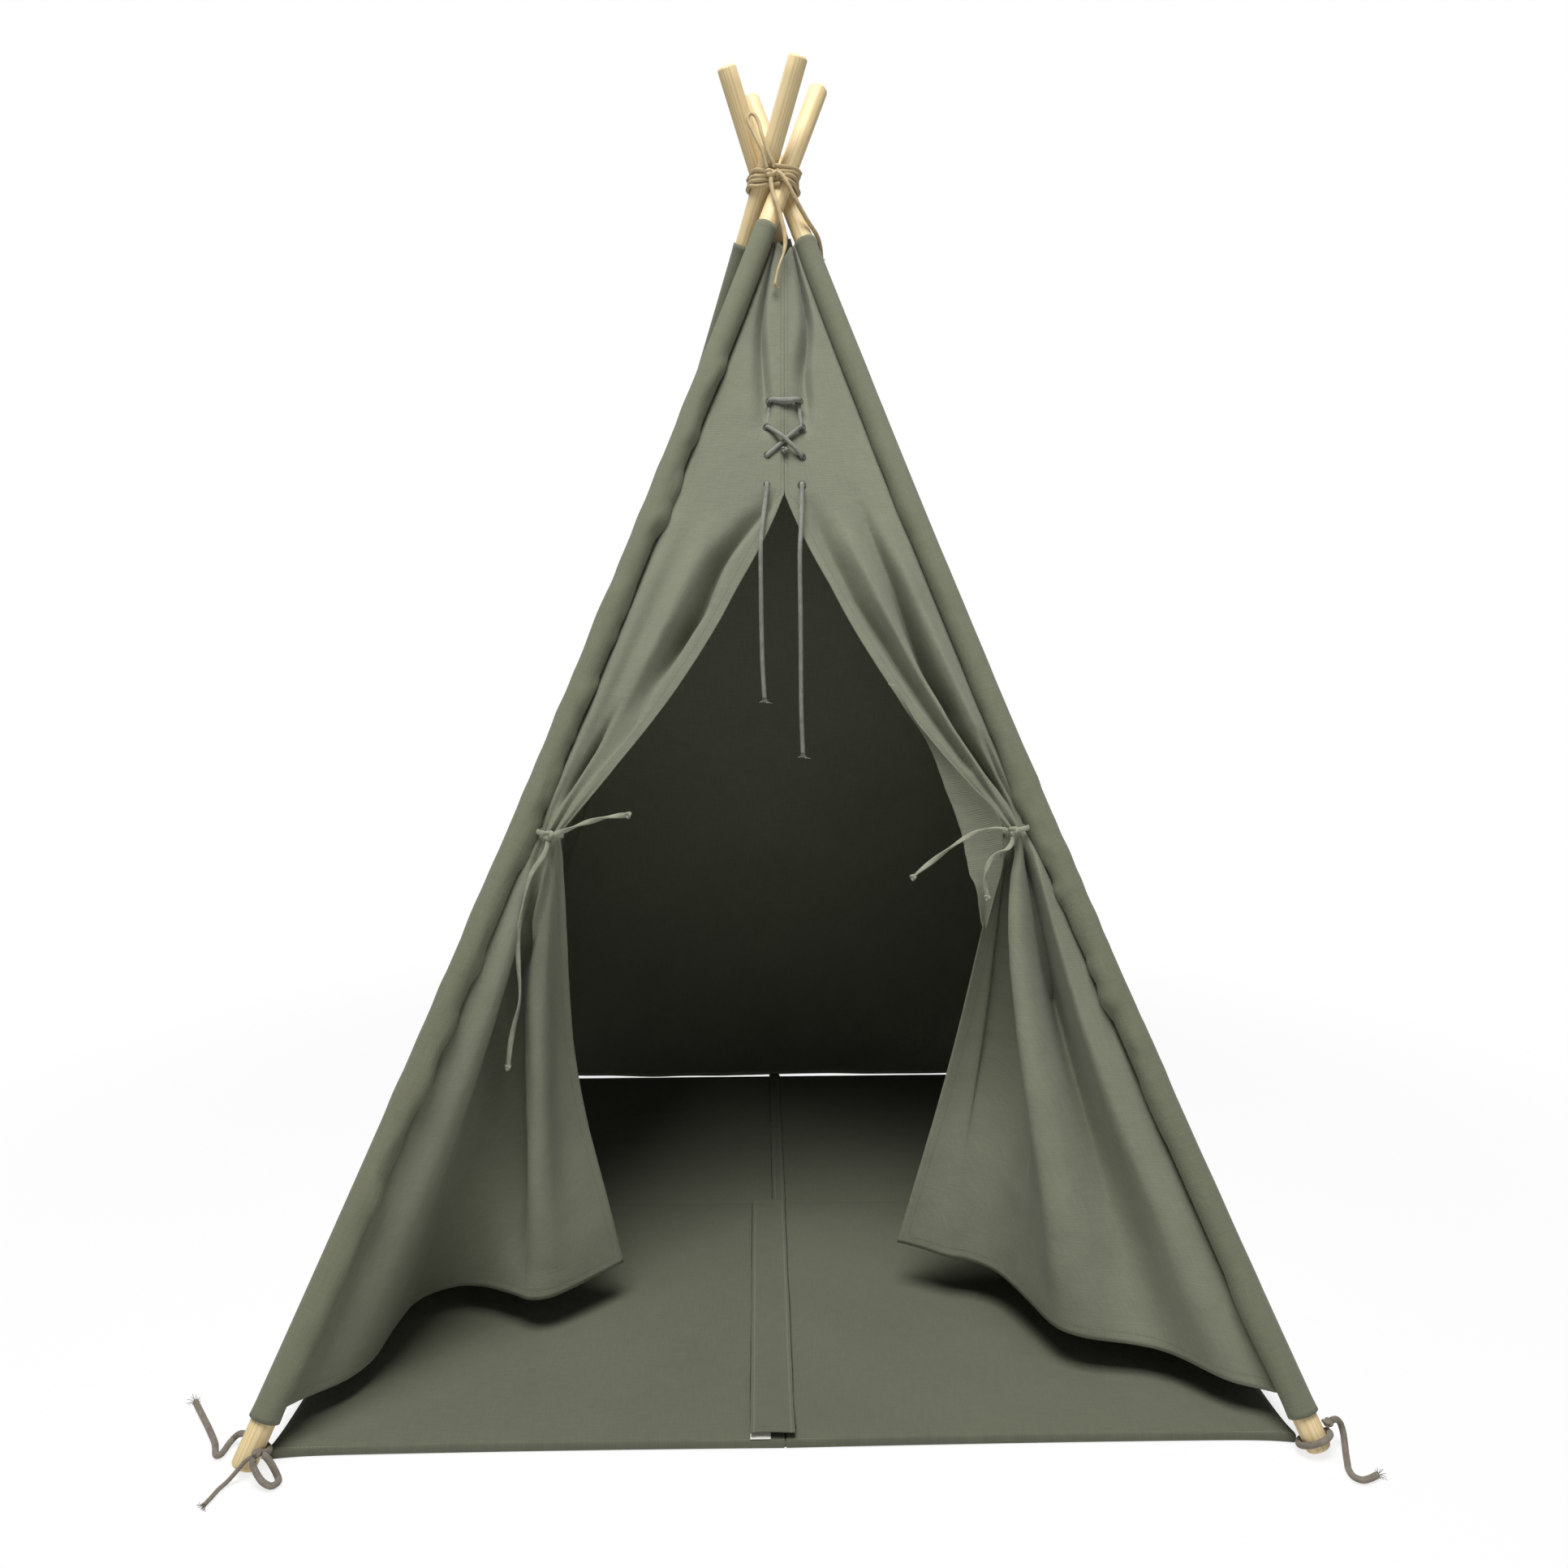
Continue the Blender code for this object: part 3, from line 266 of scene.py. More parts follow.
def even_points(points: Sequence[Vector], spacing: float) -> list[Vector]:
    """Spread points evenly along a line of straight steps."""
    lengths = [0.0]
    for first, last in zip(points, points[1:]):
        lengths.append(lengths[-1] + (last - first).length)
    count = max(2, round(lengths[-1] / spacing))
    found, number = [], 0
    for step in range(count + 1):
        aim = lengths[-1] * step / count
        while number < len(lengths) - 2 and lengths[number + 1] < aim:
            number += 1
        run = lengths[number + 1] - lengths[number]
        share = (aim - lengths[number]) / run if run else 0.0
        found.append(points[number].lerp(points[number + 1], share))
    return found


def length_of(points: Sequence[Vector]) -> float:
    """The length of a line through points."""
    return sum((last - first).length for first, last in zip(points, points[1:]))


def piece_from(bm: Shape, name: str, material: Material) -> Piece:
    """Turn a bmesh into a smooth-shaded piece at the origin."""
    bmesh.ops.recalc_face_normals(bm, faces=bm.faces)
    mesh = bpy.data.meshes.new(name)
    bm.to_mesh(mesh)
    bm.free()
    mesh.shade_smooth()
    piece = bpy.data.objects.new(name, mesh)
    bpy.context.scene.collection.objects.link(piece)
    mesh.materials.append(material)
    return piece


def surface(columns: int, rows: int, place: Place, flat: Flat) -> Shape:
    """A grid laid on a shape, with its cloth coordinates in metres.

    Args:
        columns: The cells across.
        rows: The cells along.
        place: Gives the point for the shares across and along.
        flat: Gives the flat place across and along, and the distance to the nearest sewn edge.

    Returns:
        The bmesh, with a UV map and an "edge" attribute.
    """
    bm = bmesh.new()
    uv = bm.loops.layers.uv.new("UVMap")
    edge = bm.verts.layers.float.new("edge")
    bmesh.ops.create_grid(bm, x_segments=columns, y_segments=rows, size=0.5)
    spots = {vert: flat(vert.co.x + 0.5, vert.co.y + 0.5) for vert in bm.verts}
    for face in bm.faces:
        for loop in face.loops:
            loop[uv].uv = spots[loop.vert][:2]
    for vert, spot in spots.items():
        vert[edge] = spot[2]
        vert.co = place(vert.co.x + 0.5, vert.co.y + 0.5)
    return bm


def solid_cloth(piece: Piece, thickness: float, offset: float = 0.0) -> None:
    """Give a cloth its thickness and bake it into the mesh."""
    shell = piece.modifiers.new("Thickness", "SOLIDIFY")
    shell.thickness = thickness
    shell.offset = offset
    shell.use_even_offset = True
    bake_modifiers(piece)


def bake_modifiers(piece: Piece) -> None:
    """Replace a piece's mesh by what its modifiers make of it."""
    depsgraph = bpy.context.evaluated_depsgraph_get()
    made = bpy.data.meshes.new_from_object(piece.evaluated_get(depsgraph))
    piece.modifiers.clear()
    old, piece.data = piece.data, made
    name = old.name
    bpy.data.meshes.remove(old)
    made.name = name
    made.shade_smooth()


@dataclass(frozen=True)
class Section:
    """A cord's cross-section: its size, and how its yarns stand out along it."""

    diameter: float
    strands: int = 0
    lay: float = 0.012
    depth: float = 0.0
    braided: bool = False
    flatness: float = 1.0
    turns: float = 0.0
    around: int = 14
    spacing: float = 0.0012

    def radius(self, angle: float, along: float) -> float:
        """The radius at an angle and a distance along the cord."""
        if not self.strands:
            return self.diameter / 2
        half = self.strands / 2
        slope = 2 * pi * along / self.lay
        lobe = abs(cos(half * (angle - slope)))
        if self.braided:
            lobe = max(lobe, abs(cos(half * (angle + slope))))
        return self.diameter / 2 * (1 - self.depth * (1 - lobe))


def frames_along(points: Sequence[Vector], closed: bool,
                 side: Vector | None = None) -> list[tuple[Vector, Vector]]:
    """Two directions square to a line at each of its points, turning as little as they can."""
    count = len(points)
    ways = []
    for number in range(count):
        if closed:
            way = points[(number + 1) % (count - 1)] - points[(number - 1) % (count - 1)]
        else:
            way = points[min(number + 1, count - 1)] - points[max(number - 1, 0)]
        ways.append(way.normalized())
    start = (side or ways[0].orthogonal()).normalized()
    sides = [start]
    for before, after in zip(ways, ways[1:]):
        turned = before.rotation_difference(after) @ sides[-1]
        sides.append((turned - after * turned.dot(after)).normalized())
    if closed:
        left_over = atan2(sides[-1].cross(start).dot(ways[0]), sides[-1].dot(start))
        for number in range(count):
            twist = Quaternion(ways[number], left_over * number / (count - 1))
            sides[number] = twist @ sides[number]
    return [(side, way.cross(side)) for side, way in zip(sides, ways)]


def swept(points: Sequence[Vector], section: Section, closed: bool = False,
          thick: Callable[[float], float] | None = None,
          side: Vector | None = None) -> Shape:
    """A cord's skin along a line, closed at its ends.

    Args:
        points: Even points of the cord's middle.
        section: Its cross-section.
        closed: True where the line's last point is its first.
        thick: A share of the thickness, by the share of the length.
        side: The way that the cross-section's width faces at the start.

    Returns:
        The bmesh, with UV in metres round and along the cord.
    """
    frames = frames_along(points, closed, side)
    total = length_of(points)
    if closed:
        section = replace(section, lay=total / max(1, round(total / section.lay)))
    last = len(points) - 1

    def place(across: float, along: float) -> Vector:
        number = round(along * last)
        wide, up = frames[number]
        angle = 2 * pi * across
        distance = total * along
        radius = section.radius(angle, distance) * (thick(along) if thick else 1.0)
        turn = 2 * pi * section.turns * along
        flat = Vector((cos(angle), section.flatness * sin(angle)))
        east = flat.x * cos(turn) - flat.y * sin(turn)
        north = flat.x * sin(turn) + flat.y * cos(turn)
        return points[number] + (wide * east + up * north) * radius

    def flat_place(across: float, along: float) -> Spot:
        return across * pi * section.diameter, along * total, 1.0

    bm = surface(section.around, last, place, flat_place)
    bmesh.ops.remove_doubles(bm, verts=bm.verts, dist=section.diameter * 1e-3)
    rims = [edge for edge in bm.edges if edge.is_boundary]
    if rims and not closed:
        bmesh.ops.holes_fill(bm, edges=rims, sides=section.around + 2)
    return bm


def add_mesh(bm: Shape, other: Shape) -> None:
    """Join another bmesh into this one, and free it."""
    mesh = bpy.data.meshes.new("joining")
    other.to_mesh(mesh)
    other.free()
    bm.from_mesh(mesh)
    bpy.data.meshes.remove(mesh)


# Finishes


def linear(hex_colour: str) -> tuple[float, float, float, float]:
    """An sRGB hex colour as the linear colour that the shader wants."""
    parts = [int(hex_colour[place:place + 2], 16) / 255 for place in (1, 3, 5)]
    turned = [part / 12.92 if part <= 0.04045 else ((part + 0.055) / 1.055) ** 2.4
              for part in parts]
    return turned[0], turned[1], turned[2], 1.0


def set_stops(ramp: bpy.types.Node, *stops: tuple[float, str]) -> None:
    """Give a colour ramp the places and hex colours of its stops."""
    for element, (place, tint) in zip(ramp.color_ramp.elements, stops):
        element.position, element.color = place, linear(tint)


def add_node(tree: Tree, kind: str, settings: dict[str, object] | None = None,
             **links: object) -> bpy.types.Node:
    """Add a node with its settings and its inputs.

    Args:
        tree: The material's node tree.
        kind: The node's type, without its ShaderNode.
        settings: Properties of the node itself.
        links: Inputs by name, with _ for a space; a socket is linked and a value is set.

    Returns:
        The node.
    """
    made = tree.nodes.new(f"ShaderNode{kind}")
    for name, value in (settings or {}).items():
        setattr(made, name, value)
    for name, value in links.items():
        key = int(name[3:]) if name.startswith("in_") else name.replace("_", " ")
        socket = made.inputs[key]
        if isinstance(value, Socket):
            tree.links.new(value, socket)
        else:
            socket.default_value = value
    return made


@dataclass(frozen=True)
class Finish:
    """What every finish has: a name, a colour, and a Principled shader."""

    name: str
    colour: str
    roughness: float

    def start(self) -> tuple[Material, Tree, bpy.types.Node]:
        """A new material with its tree and its shader."""
        material = bpy.data.materials.new(self.name)
        material.use_nodes = True
        tree = material.node_tree
        shader = tree.nodes["Principled BSDF"]
        shader.inputs["Base Color"].default_value = linear(self.colour)
        shader.inputs["Roughness"].default_value = self.roughness
        return material, tree, shader


@dataclass(frozen=True)
class WovenCotton(Finish):
    """Cotton canvas in a plain weave: matt, with slubby yarns and a faint bloom at its edges.

    The real yarns are 0.5 mm apart. They are drawn 1.7 mm apart, so that they show, and the thick
    places in them are 26 mm long and 1.6 mm wide.
    """

    shade: str = "#6F7264"
    slubs_per_metre: tuple[float, float] = (38.0, 620.0)
    yarn: float = 0.0017
    stitch_at: float = 0.011
    stitch_length: float = 0.0042
    stitch_share: float = 0.72
    stitch_half_width: float = 0.0008
    stitch_colour: str = "#737663"
    crease: float = 0.0011

    def material(self) -> Material:
        """The canvas as a material on the piece's own UV map, in metres."""
        material, tree, shader = self.start()
        places = add_node(tree, "TexCoord")
        uv, spot = places.outputs["UV"], places.outputs["Object"]
        waves = [add_node(tree, "TexWave", {"wave_type": "BANDS", "bands_direction": way},
                          Vector=uv, Scale=BANDS / self.yarn, Distortion=1.6, Detail=1.0,
                          Detail_Scale=2.0).outputs["Fac"] for way in "XY"]
        slubs = []
        along, beside = self.slubs_per_metre
        for scale in ((along, beside, 1.0), (beside, along, 1.0)):
            turned = add_node(tree, "Mapping", Vector=uv, Scale=scale)
            slubs.append(add_node(tree, "TexNoise", Vector=turned.outputs[0], Scale=1.0, Detail=3.0,
                                  Roughness=0.6).outputs["Fac"])
        weave = add_node(tree, "Math", {"operation": "MULTIPLY"}, in_0=waves[0], in_1=waves[1])
        slub = add_node(tree, "Math", {"operation": "ADD"}, in_0=slubs[0], in_1=slubs[1])
        clouds = add_node(tree, "TexNoise", Vector=spot, Scale=5.5, Detail=4.0, Roughness=0.55)
        tone = -0.02
        for source, share in ((slub.outputs[0], 0.42), (clouds.outputs["Fac"], 0.35)):
            tone = add_node(tree, "Math", {"operation": "MULTIPLY_ADD"}, in_0=source, in_1=share,
                            in_2=tone).outputs[0]
        ramp = add_node(tree, "ValToRGB", Fac=tone)
        set_stops(ramp, (0.33, self.shade), (0.78, self.colour))
        stitches = self.stitches(tree, uv)
        colour = add_node(tree, "Mix", {"data_type": "RGBA"}, Factor=stitches, in_6=ramp.outputs[0],
                          in_7=linear(self.stitch_colour)).outputs[2]
        tree.links.new(colour, shader.inputs["Base Color"])
        creases = add_node(tree, "TexNoise", Vector=spot, Scale=13.0, Detail=5.0, Roughness=0.6,
                           Distortion=0.4).outputs["Fac"]
        below = {}
        for strength, distance, height, sunk in ((0.5, self.crease * 4, creases, False),
                                                 (0.35, 0.0006, slub.outputs[0], False),
                                                 (0.4, 0.0005, weave.outputs[0], False),
                                                 (0.8, 0.0008, stitches, True)):
            bump = add_node(tree, "Bump", {"invert": sunk}, Strength=strength, Distance=distance,
                            Height=height, **below)
            below = {"Normal": bump.outputs[0]}
        tree.links.new(below["Normal"], shader.inputs["Normal"])
        shader.inputs["Sheen Weight"].default_value = 0.12
        shader.inputs["Sheen Roughness"].default_value = 0.5
        shader.inputs["Specular IOR Level"].default_value = 0.25
        return material

    def stitches(self, tree: Tree, uv: Socket) -> Socket:
        """A line of stitches beside each sewn edge, as a mask."""
        gap = add_node(tree, "Attribute", {"attribute_name": "edge"}).outputs["Fac"]
        split = add_node(tree, "SeparateXYZ", Vector=uv).outputs
        near_seam = (("SUBTRACT", self.stitch_at), ("ABSOLUTE", 0.0),
                     ("LESS_THAN", self.stitch_half_width))
        dashed = (("ADD", split[1]), ("DIVIDE", self.stitch_length), ("FRACT", 0.0),
                  ("LESS_THAN", self.stitch_share))
        masks = []
        for value, steps in ((gap, near_seam), (split[0], dashed)):
            for operation, other in steps:
                value = add_node(tree, "Math", {"operation": operation}, in_0=value,
                                 in_1=other).outputs[0]
            masks.append(value)
        return add_node(tree, "Math", {"operation": "MULTIPLY"}, in_0=masks[0],
                        in_1=masks[1]).outputs[0]


@dataclass(frozen=True)
class TurnedPine(Finish):
    """Pine dowel, turned and sanded: pale, with long growth lines and a few darker flecks."""

    line: str = "#D2B782"
    ring: float = 0.0034

    def material(self) -> Material:
        """The dowel's grain, on an attribute that holds each point's place in its own pole."""
        material, tree, shader = self.start()
        inside = add_node(tree, "Attribute", {"attribute_name": "grain"}).outputs["Vector"]
        long = add_node(tree, "Mapping", Vector=inside, Scale=(1.0, 1.0, 0.035),
                        Location=(0.011, 0.004, 0.0))
        rings = add_node(tree, "TexWave", {"wave_type": "RINGS", "rings_direction": "Z"},
                         Vector=long.outputs[0], Scale=BANDS / self.ring, Distortion=2.2,
                         Detail=2.0, Detail_Scale=14.0).outputs["Fac"]
        fine = add_node(tree, "Mapping", Vector=inside, Scale=(900.0, 900.0, 14.0))
        pores = add_node(tree, "TexNoise", Vector=fine.outputs[0], Scale=1.0,
                         Detail=3.0).outputs["Fac"]
        tone = add_node(tree, "Math", {"operation": "MULTIPLY_ADD"}, in_0=pores, in_1=0.5,
                        in_2=rings).outputs[0]
        ramp = add_node(tree, "ValToRGB", Fac=tone)
        set_stops(ramp, (0.15, self.line), (0.75, self.colour))
        tree.links.new(ramp.outputs[0], shader.inputs["Base Color"])
        bump = add_node(tree, "Bump", Strength=0.25, Distance=0.0003, Height=tone)
        tree.links.new(bump.outputs[0], shader.inputs["Normal"])
        shader.inputs["IOR"].default_value = 1.5
        return material


@dataclass(frozen=True)
class CottonCord(Finish):
    """Cotton cord: matt yarns with a soft fuzz, a little darker in its grooves."""

    shade: str = "#6E6E66"
    fibre: float = 0.0007

    def material(self) -> Material:
        """The cord's fibres, on its own UV map in metres round and along it."""
        material, tree, shader = self.start()
        places = add_node(tree, "TexCoord")
        turned = add_node(tree, "Mapping", Vector=places.outputs["UV"], Rotation=(0.0, 0.0, 0.5),
                          Scale=(1 / self.fibre, 0.12 / self.fibre, 1.0))
        fibres = add_node(tree, "TexNoise", Vector=turned.outputs[0], Scale=1.0, Detail=3.0,
                          Roughness=0.65).outputs["Fac"]
        patches = add_node(tree, "TexNoise", Vector=places.outputs["Object"], Scale=90.0,
                           Detail=2.0).outputs["Fac"]
        tone = add_node(tree, "Math", {"operation": "MULTIPLY_ADD"}, in_0=patches, in_1=0.6,
                        in_2=fibres).outputs[0]
        ramp = add_node(tree, "ValToRGB", Fac=tone)
        set_stops(ramp, (0.5, self.shade), (1.0, self.colour))
        tree.links.new(ramp.outputs[0], shader.inputs["Base Color"])
        bump = add_node(tree, "Bump", Strength=0.5, Distance=0.0004, Height=fibres)
        tree.links.new(bump.outputs[0], shader.inputs["Normal"])
        shader.inputs["Sheen Weight"].default_value = 0.15
        shader.inputs["Specular IOR Level"].default_value = 0.2
        return material


@dataclass(frozen=True)
class Finishes:
    """Every finish of the teepee, made once."""

    canvas: Material
    doubled: Material
    mat_cotton: Material
    pine: Material
    lashing: Material
    lace: Material
    tape: Material
    foot_cord: Material
    label: Material
    thread: Material
    shadow: Material

    @classmethod
    def made(cls) -> "Finishes":
        """Make all the materials."""
        return cls(
            canvas=WovenCotton("olive_canvas", "#828572", 0.92, shade="#6E7160").material(),
            # A darker copy of the olive canvas for the sleeves: painted shade, so that they come
            # out darker than the panels.
            doubled=WovenCotton("doubled_canvas", "#757864", 0.92, shade="#646753").material(),
            mat_cotton=WovenCotton("mat_canvas", "#676A59", 0.93, shade="#585B4B",
                                   stitch_at=0.004, crease=0.0016).material(),
            pine=TurnedPine("turned_pine", "#E7D1A1", 0.55).material(),
            lashing=CottonCord("lashing_cotton", "#CAB790", 0.85, shade="#A58F64").material(),
            lace=CottonCord("grey_lace", "#8F9188", 0.9, shade="#696A63").material(),
            tape=CottonCord("canvas_tape", "#9A9C8A", 0.92, shade="#7C7F6C").material(),
            foot_cord=CottonCord("foot_cord", "#8B8377", 0.9, shade="#655D52").material(),
            label=CottonCord("label_satin", "#F1F0EA", 0.6, shade="#DEDDD5").material(),
            thread=CottonCord("dark_thread", "#5B5E52", 0.9, shade="#44473C").material(),
            # Near-black, for the cords along the mat strips' edges: painted shadow. The eyelet
            # cutter wears it too, and is removed.
            shadow=CottonCord("strip_edge_painted_shadow", "#2A2C25", 0.95, shade="#1C1E18").material(),
        )


def dress(piece: Piece, body: str, slot: str, *nodes: str) -> Piece:
    """Let a piece ride on its body and hide the CAD nodes it stands for."""
    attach(piece, body)
    if nodes:
        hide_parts(*nodes)
    LOG.info("%s rides on %s", piece.name, body)
    return piece


def draw_in(piece: Piece,
            anchor: Sequence[float] = (0.0, 0.0, 0.0)) -> None:
    """Give a piece its own copy of its mesh."""
    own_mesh(piece)


# The frame


@dataclass(frozen=True)
class PoleAxes:
    """The four poles' bowed axes, with the CAD's own sizes."""

    half_base: float = 0.54
    crossing: float = 1.417
    bow: float = 0.014
    swirl: float = 0.0192287
    lift: float = 0.0049614
    diameter: float = 0.025

    def ends(self, corner: Corner) -> tuple[Vector, Vector]:
        """The axis at the foot and at the lashing."""
        out = corner.outward
        east, north = corner.value
        foot = Vector((east * self.half_base, north * self.half_base, self.lift))
        return foot, Vector((-out.y * self.swirl, out.x * self.swirl, self.crossing))

    def inward(self, corner: Corner) -> Vector:
        """The way in which the pole bows."""
        foot, top = self.ends(corner)
        run, out = (top - foot).normalized(), corner.outward
        return (run * out.dot(run) - out).normalized()

    def at_share(self, corner: Corner, share: float) -> Vector:
        """The axis at a share of the way from the foot (0) to the lashing (1)."""
        foot, top = self.ends(corner)
        return foot.lerp(top, share) + self.inward(corner) * self.bow * 4 * share * (1 - share)

    def share_at(self, corner: Corner, height: float) -> float:
        """The share at a height."""
        foot, top = self.ends(corner)
        lifted = 4 * self.bow * self.inward(corner).z
        rise = top.z - foot.z + lifted
        root = sqrt(max(0.0, rise * rise - 4 * lifted * (height - foot.z)))
        return 2 * (height - foot.z) / (rise + root)

    def at(self, corner: Corner, height: float) -> Vector:
        """The axis at a height."""
        return self.at_share(corner, self.share_at(corner, height))

    def way(self, corner: Corner, share: float) -> Vector:
        """The way up along the axis at a share."""
        step = 0.002
        return (self.at_share(corner, share + step)
                - self.at_share(corner, share - step)).normalized()

    def spoke(self, corner: Corner, share: float, across: float) -> Vector:
        """The way out from the axis at a share, after a share of a turn round it."""
        way = self.way(corner, share)
        side = way.cross(corner.outward).normalized()
        angle = 2 * pi * across
        return side * cos(angle) + side.cross(way) * sin(angle)

    @property
    def length(self) -> float:
        """The straight length from a foot to the lashing."""
        foot, top = self.ends(Corner.FRONT_LEFT)
        return (top - foot).length


@dataclass
class PoleSet:
    """The four turned poles, their ends rounded over."""

    axes: PoleAxes
    finishes: Finishes
    top_reach: float = 0.1466
    around: int = 40
    rows: int = 72
    end_round: float = 0.0042
    end_rows: float = 0.06

    def build(self) -> None:
        """Make the poles and let each ride on its own body."""
        for corner in Corner:
            self.build_pole(corner)

    def build_pole(self, corner: Corner) -> None:
        """Make one pole."""
        total = 1 + self.top_reach / self.axes.length
        radius = self.axes.diameter / 2
        span = total * self.axes.length
        seed = 3.0 * corner.value[0] + 7.0 * corner.value[1]

        def thick(distance: float) -> float:
            near = min(distance, span - distance)
            gap = 1 - clamp(near / self.end_round)
            return radius - self.end_round * (1 - sqrt(max(0.0, 1 - gap * gap)))

        def along_of(share: float) -> float:
            end, rows = self.end_round / span, self.end_rows
            if share < rows:
                return end * (share / rows) ** 2
            if share > 1 - rows:
                return 1 - end * ((1 - share) / rows) ** 2
            return end + (1 - 2 * end) * (share - rows) / (1 - 2 * rows)

        def place(across: float, along: float) -> Vector:
            share = along_of(along)
            spoke = self.axes.spoke(corner, share * total, across)
            return self.axes.at_share(corner, share * total) + spoke * thick(share * span)

        def flat(across: float, along: float) -> Spot:
            return across * 2 * pi * radius, along_of(along) * span, 1.0

        bm = surface(self.around, self.rows, place, flat)
        bmesh.ops.remove_doubles(bm, verts=bm.verts, dist=1e-5)
        rims = [edge for edge in bm.edges if edge.is_boundary]
        bmesh.ops.holes_fill(bm, edges=rims, sides=self.around + 2)
        grain = bm.verts.layers.float_vector.new("grain")
        foot, _ = self.axes.ends(corner)
        way = self.axes.way(corner, 0.5)
        side = way.cross(corner.outward).normalized()
        for vert in bm.verts:
            share = clamp((vert.co - foot).dot(way) / self.axes.length / total) * total
            off = vert.co - self.axes.at_share(corner, share)
            vert[grain] = Vector((off.dot(side) + seed, off.dot(side.cross(way)), share + seed))
        name = f"pole_{corner.label}"
        pole = piece_from(bm, f"{name}_dowel", self.finishes.pine)
        dress(pole, f"{corner.label}_pole", "pine", name)


@dataclass(frozen=True)
class Pucker:
    """How much a sleeve's cloth gathers over a stretch of its height."""

    low: float
    high: float
    size: float
    depth: float


@dataclass
class SleeveSet:
    """The cloth tunnels round the poles, puckered along their seams.

    top_drops are their tops' distances under the crossing, hems their lower ends' heights, and
    fade is how softly a stretch of puckers begins and ends.
    """

    axes: PoleAxes
    finishes: Finishes
    around: int = 36
    rows: int = 300
    wall: float = 0.0013
    ease: float = 0.0006
    puff: float = 0.0009
    neck: float = 0.16
    flat_width: float = 0.096
    fade: float = 0.08
    hem_bulge: float = 0.0005
    hem_reach: float = 0.012
    top_drops: dict[Corner, float] = field(
        default_factory=lambda: dict(zip(Corner, (0.066, 0.078, 0.074, 0.062))))
    hems: dict[Corner, float] = field(
        default_factory=lambda: dict(zip(Corner, (0.046, 0.036, 0.045, 0.045))))
    puckers: dict[Corner, tuple[Pucker, ...]] = field(default_factory=lambda: {
        Corner.FRONT_LEFT: (Pucker(0.05, 1.25, 0.045, 0.0048), Pucker(0.5, 1.05, 0.03, 0.003)),
        Corner.FRONT_RIGHT: (Pucker(0.05, 1.2, 0.06, 0.002), Pucker(0.3, 0.74, 0.026, 0.0045)),
        Corner.REAR_LEFT: (Pucker(0.05, 1.2, 0.045, 0.0012),),
        Corner.REAR_RIGHT: (Pucker(0.05, 1.2, 0.045, 0.0012),)})

    def radius(self, corner: Corner, height: float) -> float:
        """The sleeve's outer radius, as in the CAD."""
        neck = self.axes.crossing - self.top_drops[corner] - self.neck
        tight = clamp((height - neck) / self.neck)
        return self.axes.diameter / 2 + self.ease + self.wall + self.puff * (1 - tight)

    def build(self) -> None:
        """Make the sleeves."""
        for corner in Corner:
            self.build_sleeve(corner)

    def build_sleeve(self, corner: Corner) -> None:
        """Make one sleeve."""
        axes = self.axes
        top = axes.crossing - self.top_drops[corner]
        start = axes.share_at(corner, self.hems[corner])
        end = axes.share_at(corner, top)
        seed = 11.0 + 5.0 * corner.value[0] + 3.0 * corner.value[1]
        span = (end - start) * axes.length

        def place(across: float, along: float) -> Vector:
            share = start + (end - start) * along
            middle, spoke = axes.at_share(corner, share), axes.spoke(corner, share, across)
            size = self.radius(corner, middle.z)
            for pucker in self.puckers[corner]:
                fade = ease((middle.z - pucker.low) / self.fade)
                fade *= ease((pucker.high - middle.z) / self.fade)
                spot = Vector((spoke.x * 0.6, spoke.y * 0.6, share * axes.length / pucker.size))
                bump = noise.noise(spot + Vector((seed, -seed, seed)))
                seams = max(-corner.value[0] * spoke.x, -corner.value[1] * spoke.y)
                size += pucker.depth * fade * max(-0.1, bump * 1.6) * (0.2 + clamp(seams))
            hem = min(along, 1 - along) * span
            size += self.hem_bulge * (1 - ease(hem / self.hem_reach))
            return middle + spoke * size

        def flat(across: float, along: float) -> Spot:
            hem = min(along, 1 - along) * span
            return across * self.flat_width, along * span, hem

        bm = surface(self.around, self.rows, place, flat)
        bmesh.ops.remove_doubles(bm, verts=bm.verts, dist=1e-5)
        name = f"sleeve_{corner.label}"
        # The sleeves wear the darker copy of the canvas, which is painted shade.
        sleeve = piece_from(bm, f"{name}_cloth", self.finishes.doubled)
        solid_cloth(sleeve, self.wall, offset=-1.0)
        dress(sleeve, f"{corner.label}_pole", "canvas", name)
        width = 2 * pi * self.radius(corner, 0.5)


# The cover


@dataclass
class Cover:
    """What the walls and the front share: the taut plane between two sleeves.

    seam_gap is below 0, because the cloth's edge is sewn into the sleeve's own thickness.
    """

    axes: PoleAxes
    sleeves: SleeveSet
    finishes: Finishes
    cloth: float = 0.0016
    seam_gap: float = -0.0015

    def seam_share(self, left: Corner, right: Corner, height: float, corner: Corner) -> float:
        """The share of the way between two poles where a sleeve's outside is met."""
        span = self.axes.at(right, height) - self.axes.at(left, height)
        way = self.axes.way(corner, self.axes.share_at(corner, height))
        tilt = span.normalized().dot(way)
        reach = self.sleeves.radius(corner, height) + self.seam_gap
        return reach / sqrt(1 - tilt * tilt) / span.length

    def between(self, left: Corner, right: Corner, across: float, height: float) -> Vector:
        """A point of the taut cloth between two sleeves."""
        start = self.seam_share(left, right, height, left)
        end = 1 - self.seam_share(left, right, height, right)
        share = start + (end - start) * across
        return self.axes.at(left, height).lerp(self.axes.at(right, height), share)

    def normal(self, left: Corner, right: Corner) -> Vector:
        """The way out of the tent, square to the face between two poles."""
        foot, top = self.axes.ends(left)
        other, _ = self.axes.ends(right)
        return (other - foot).cross(top - foot).normalized()


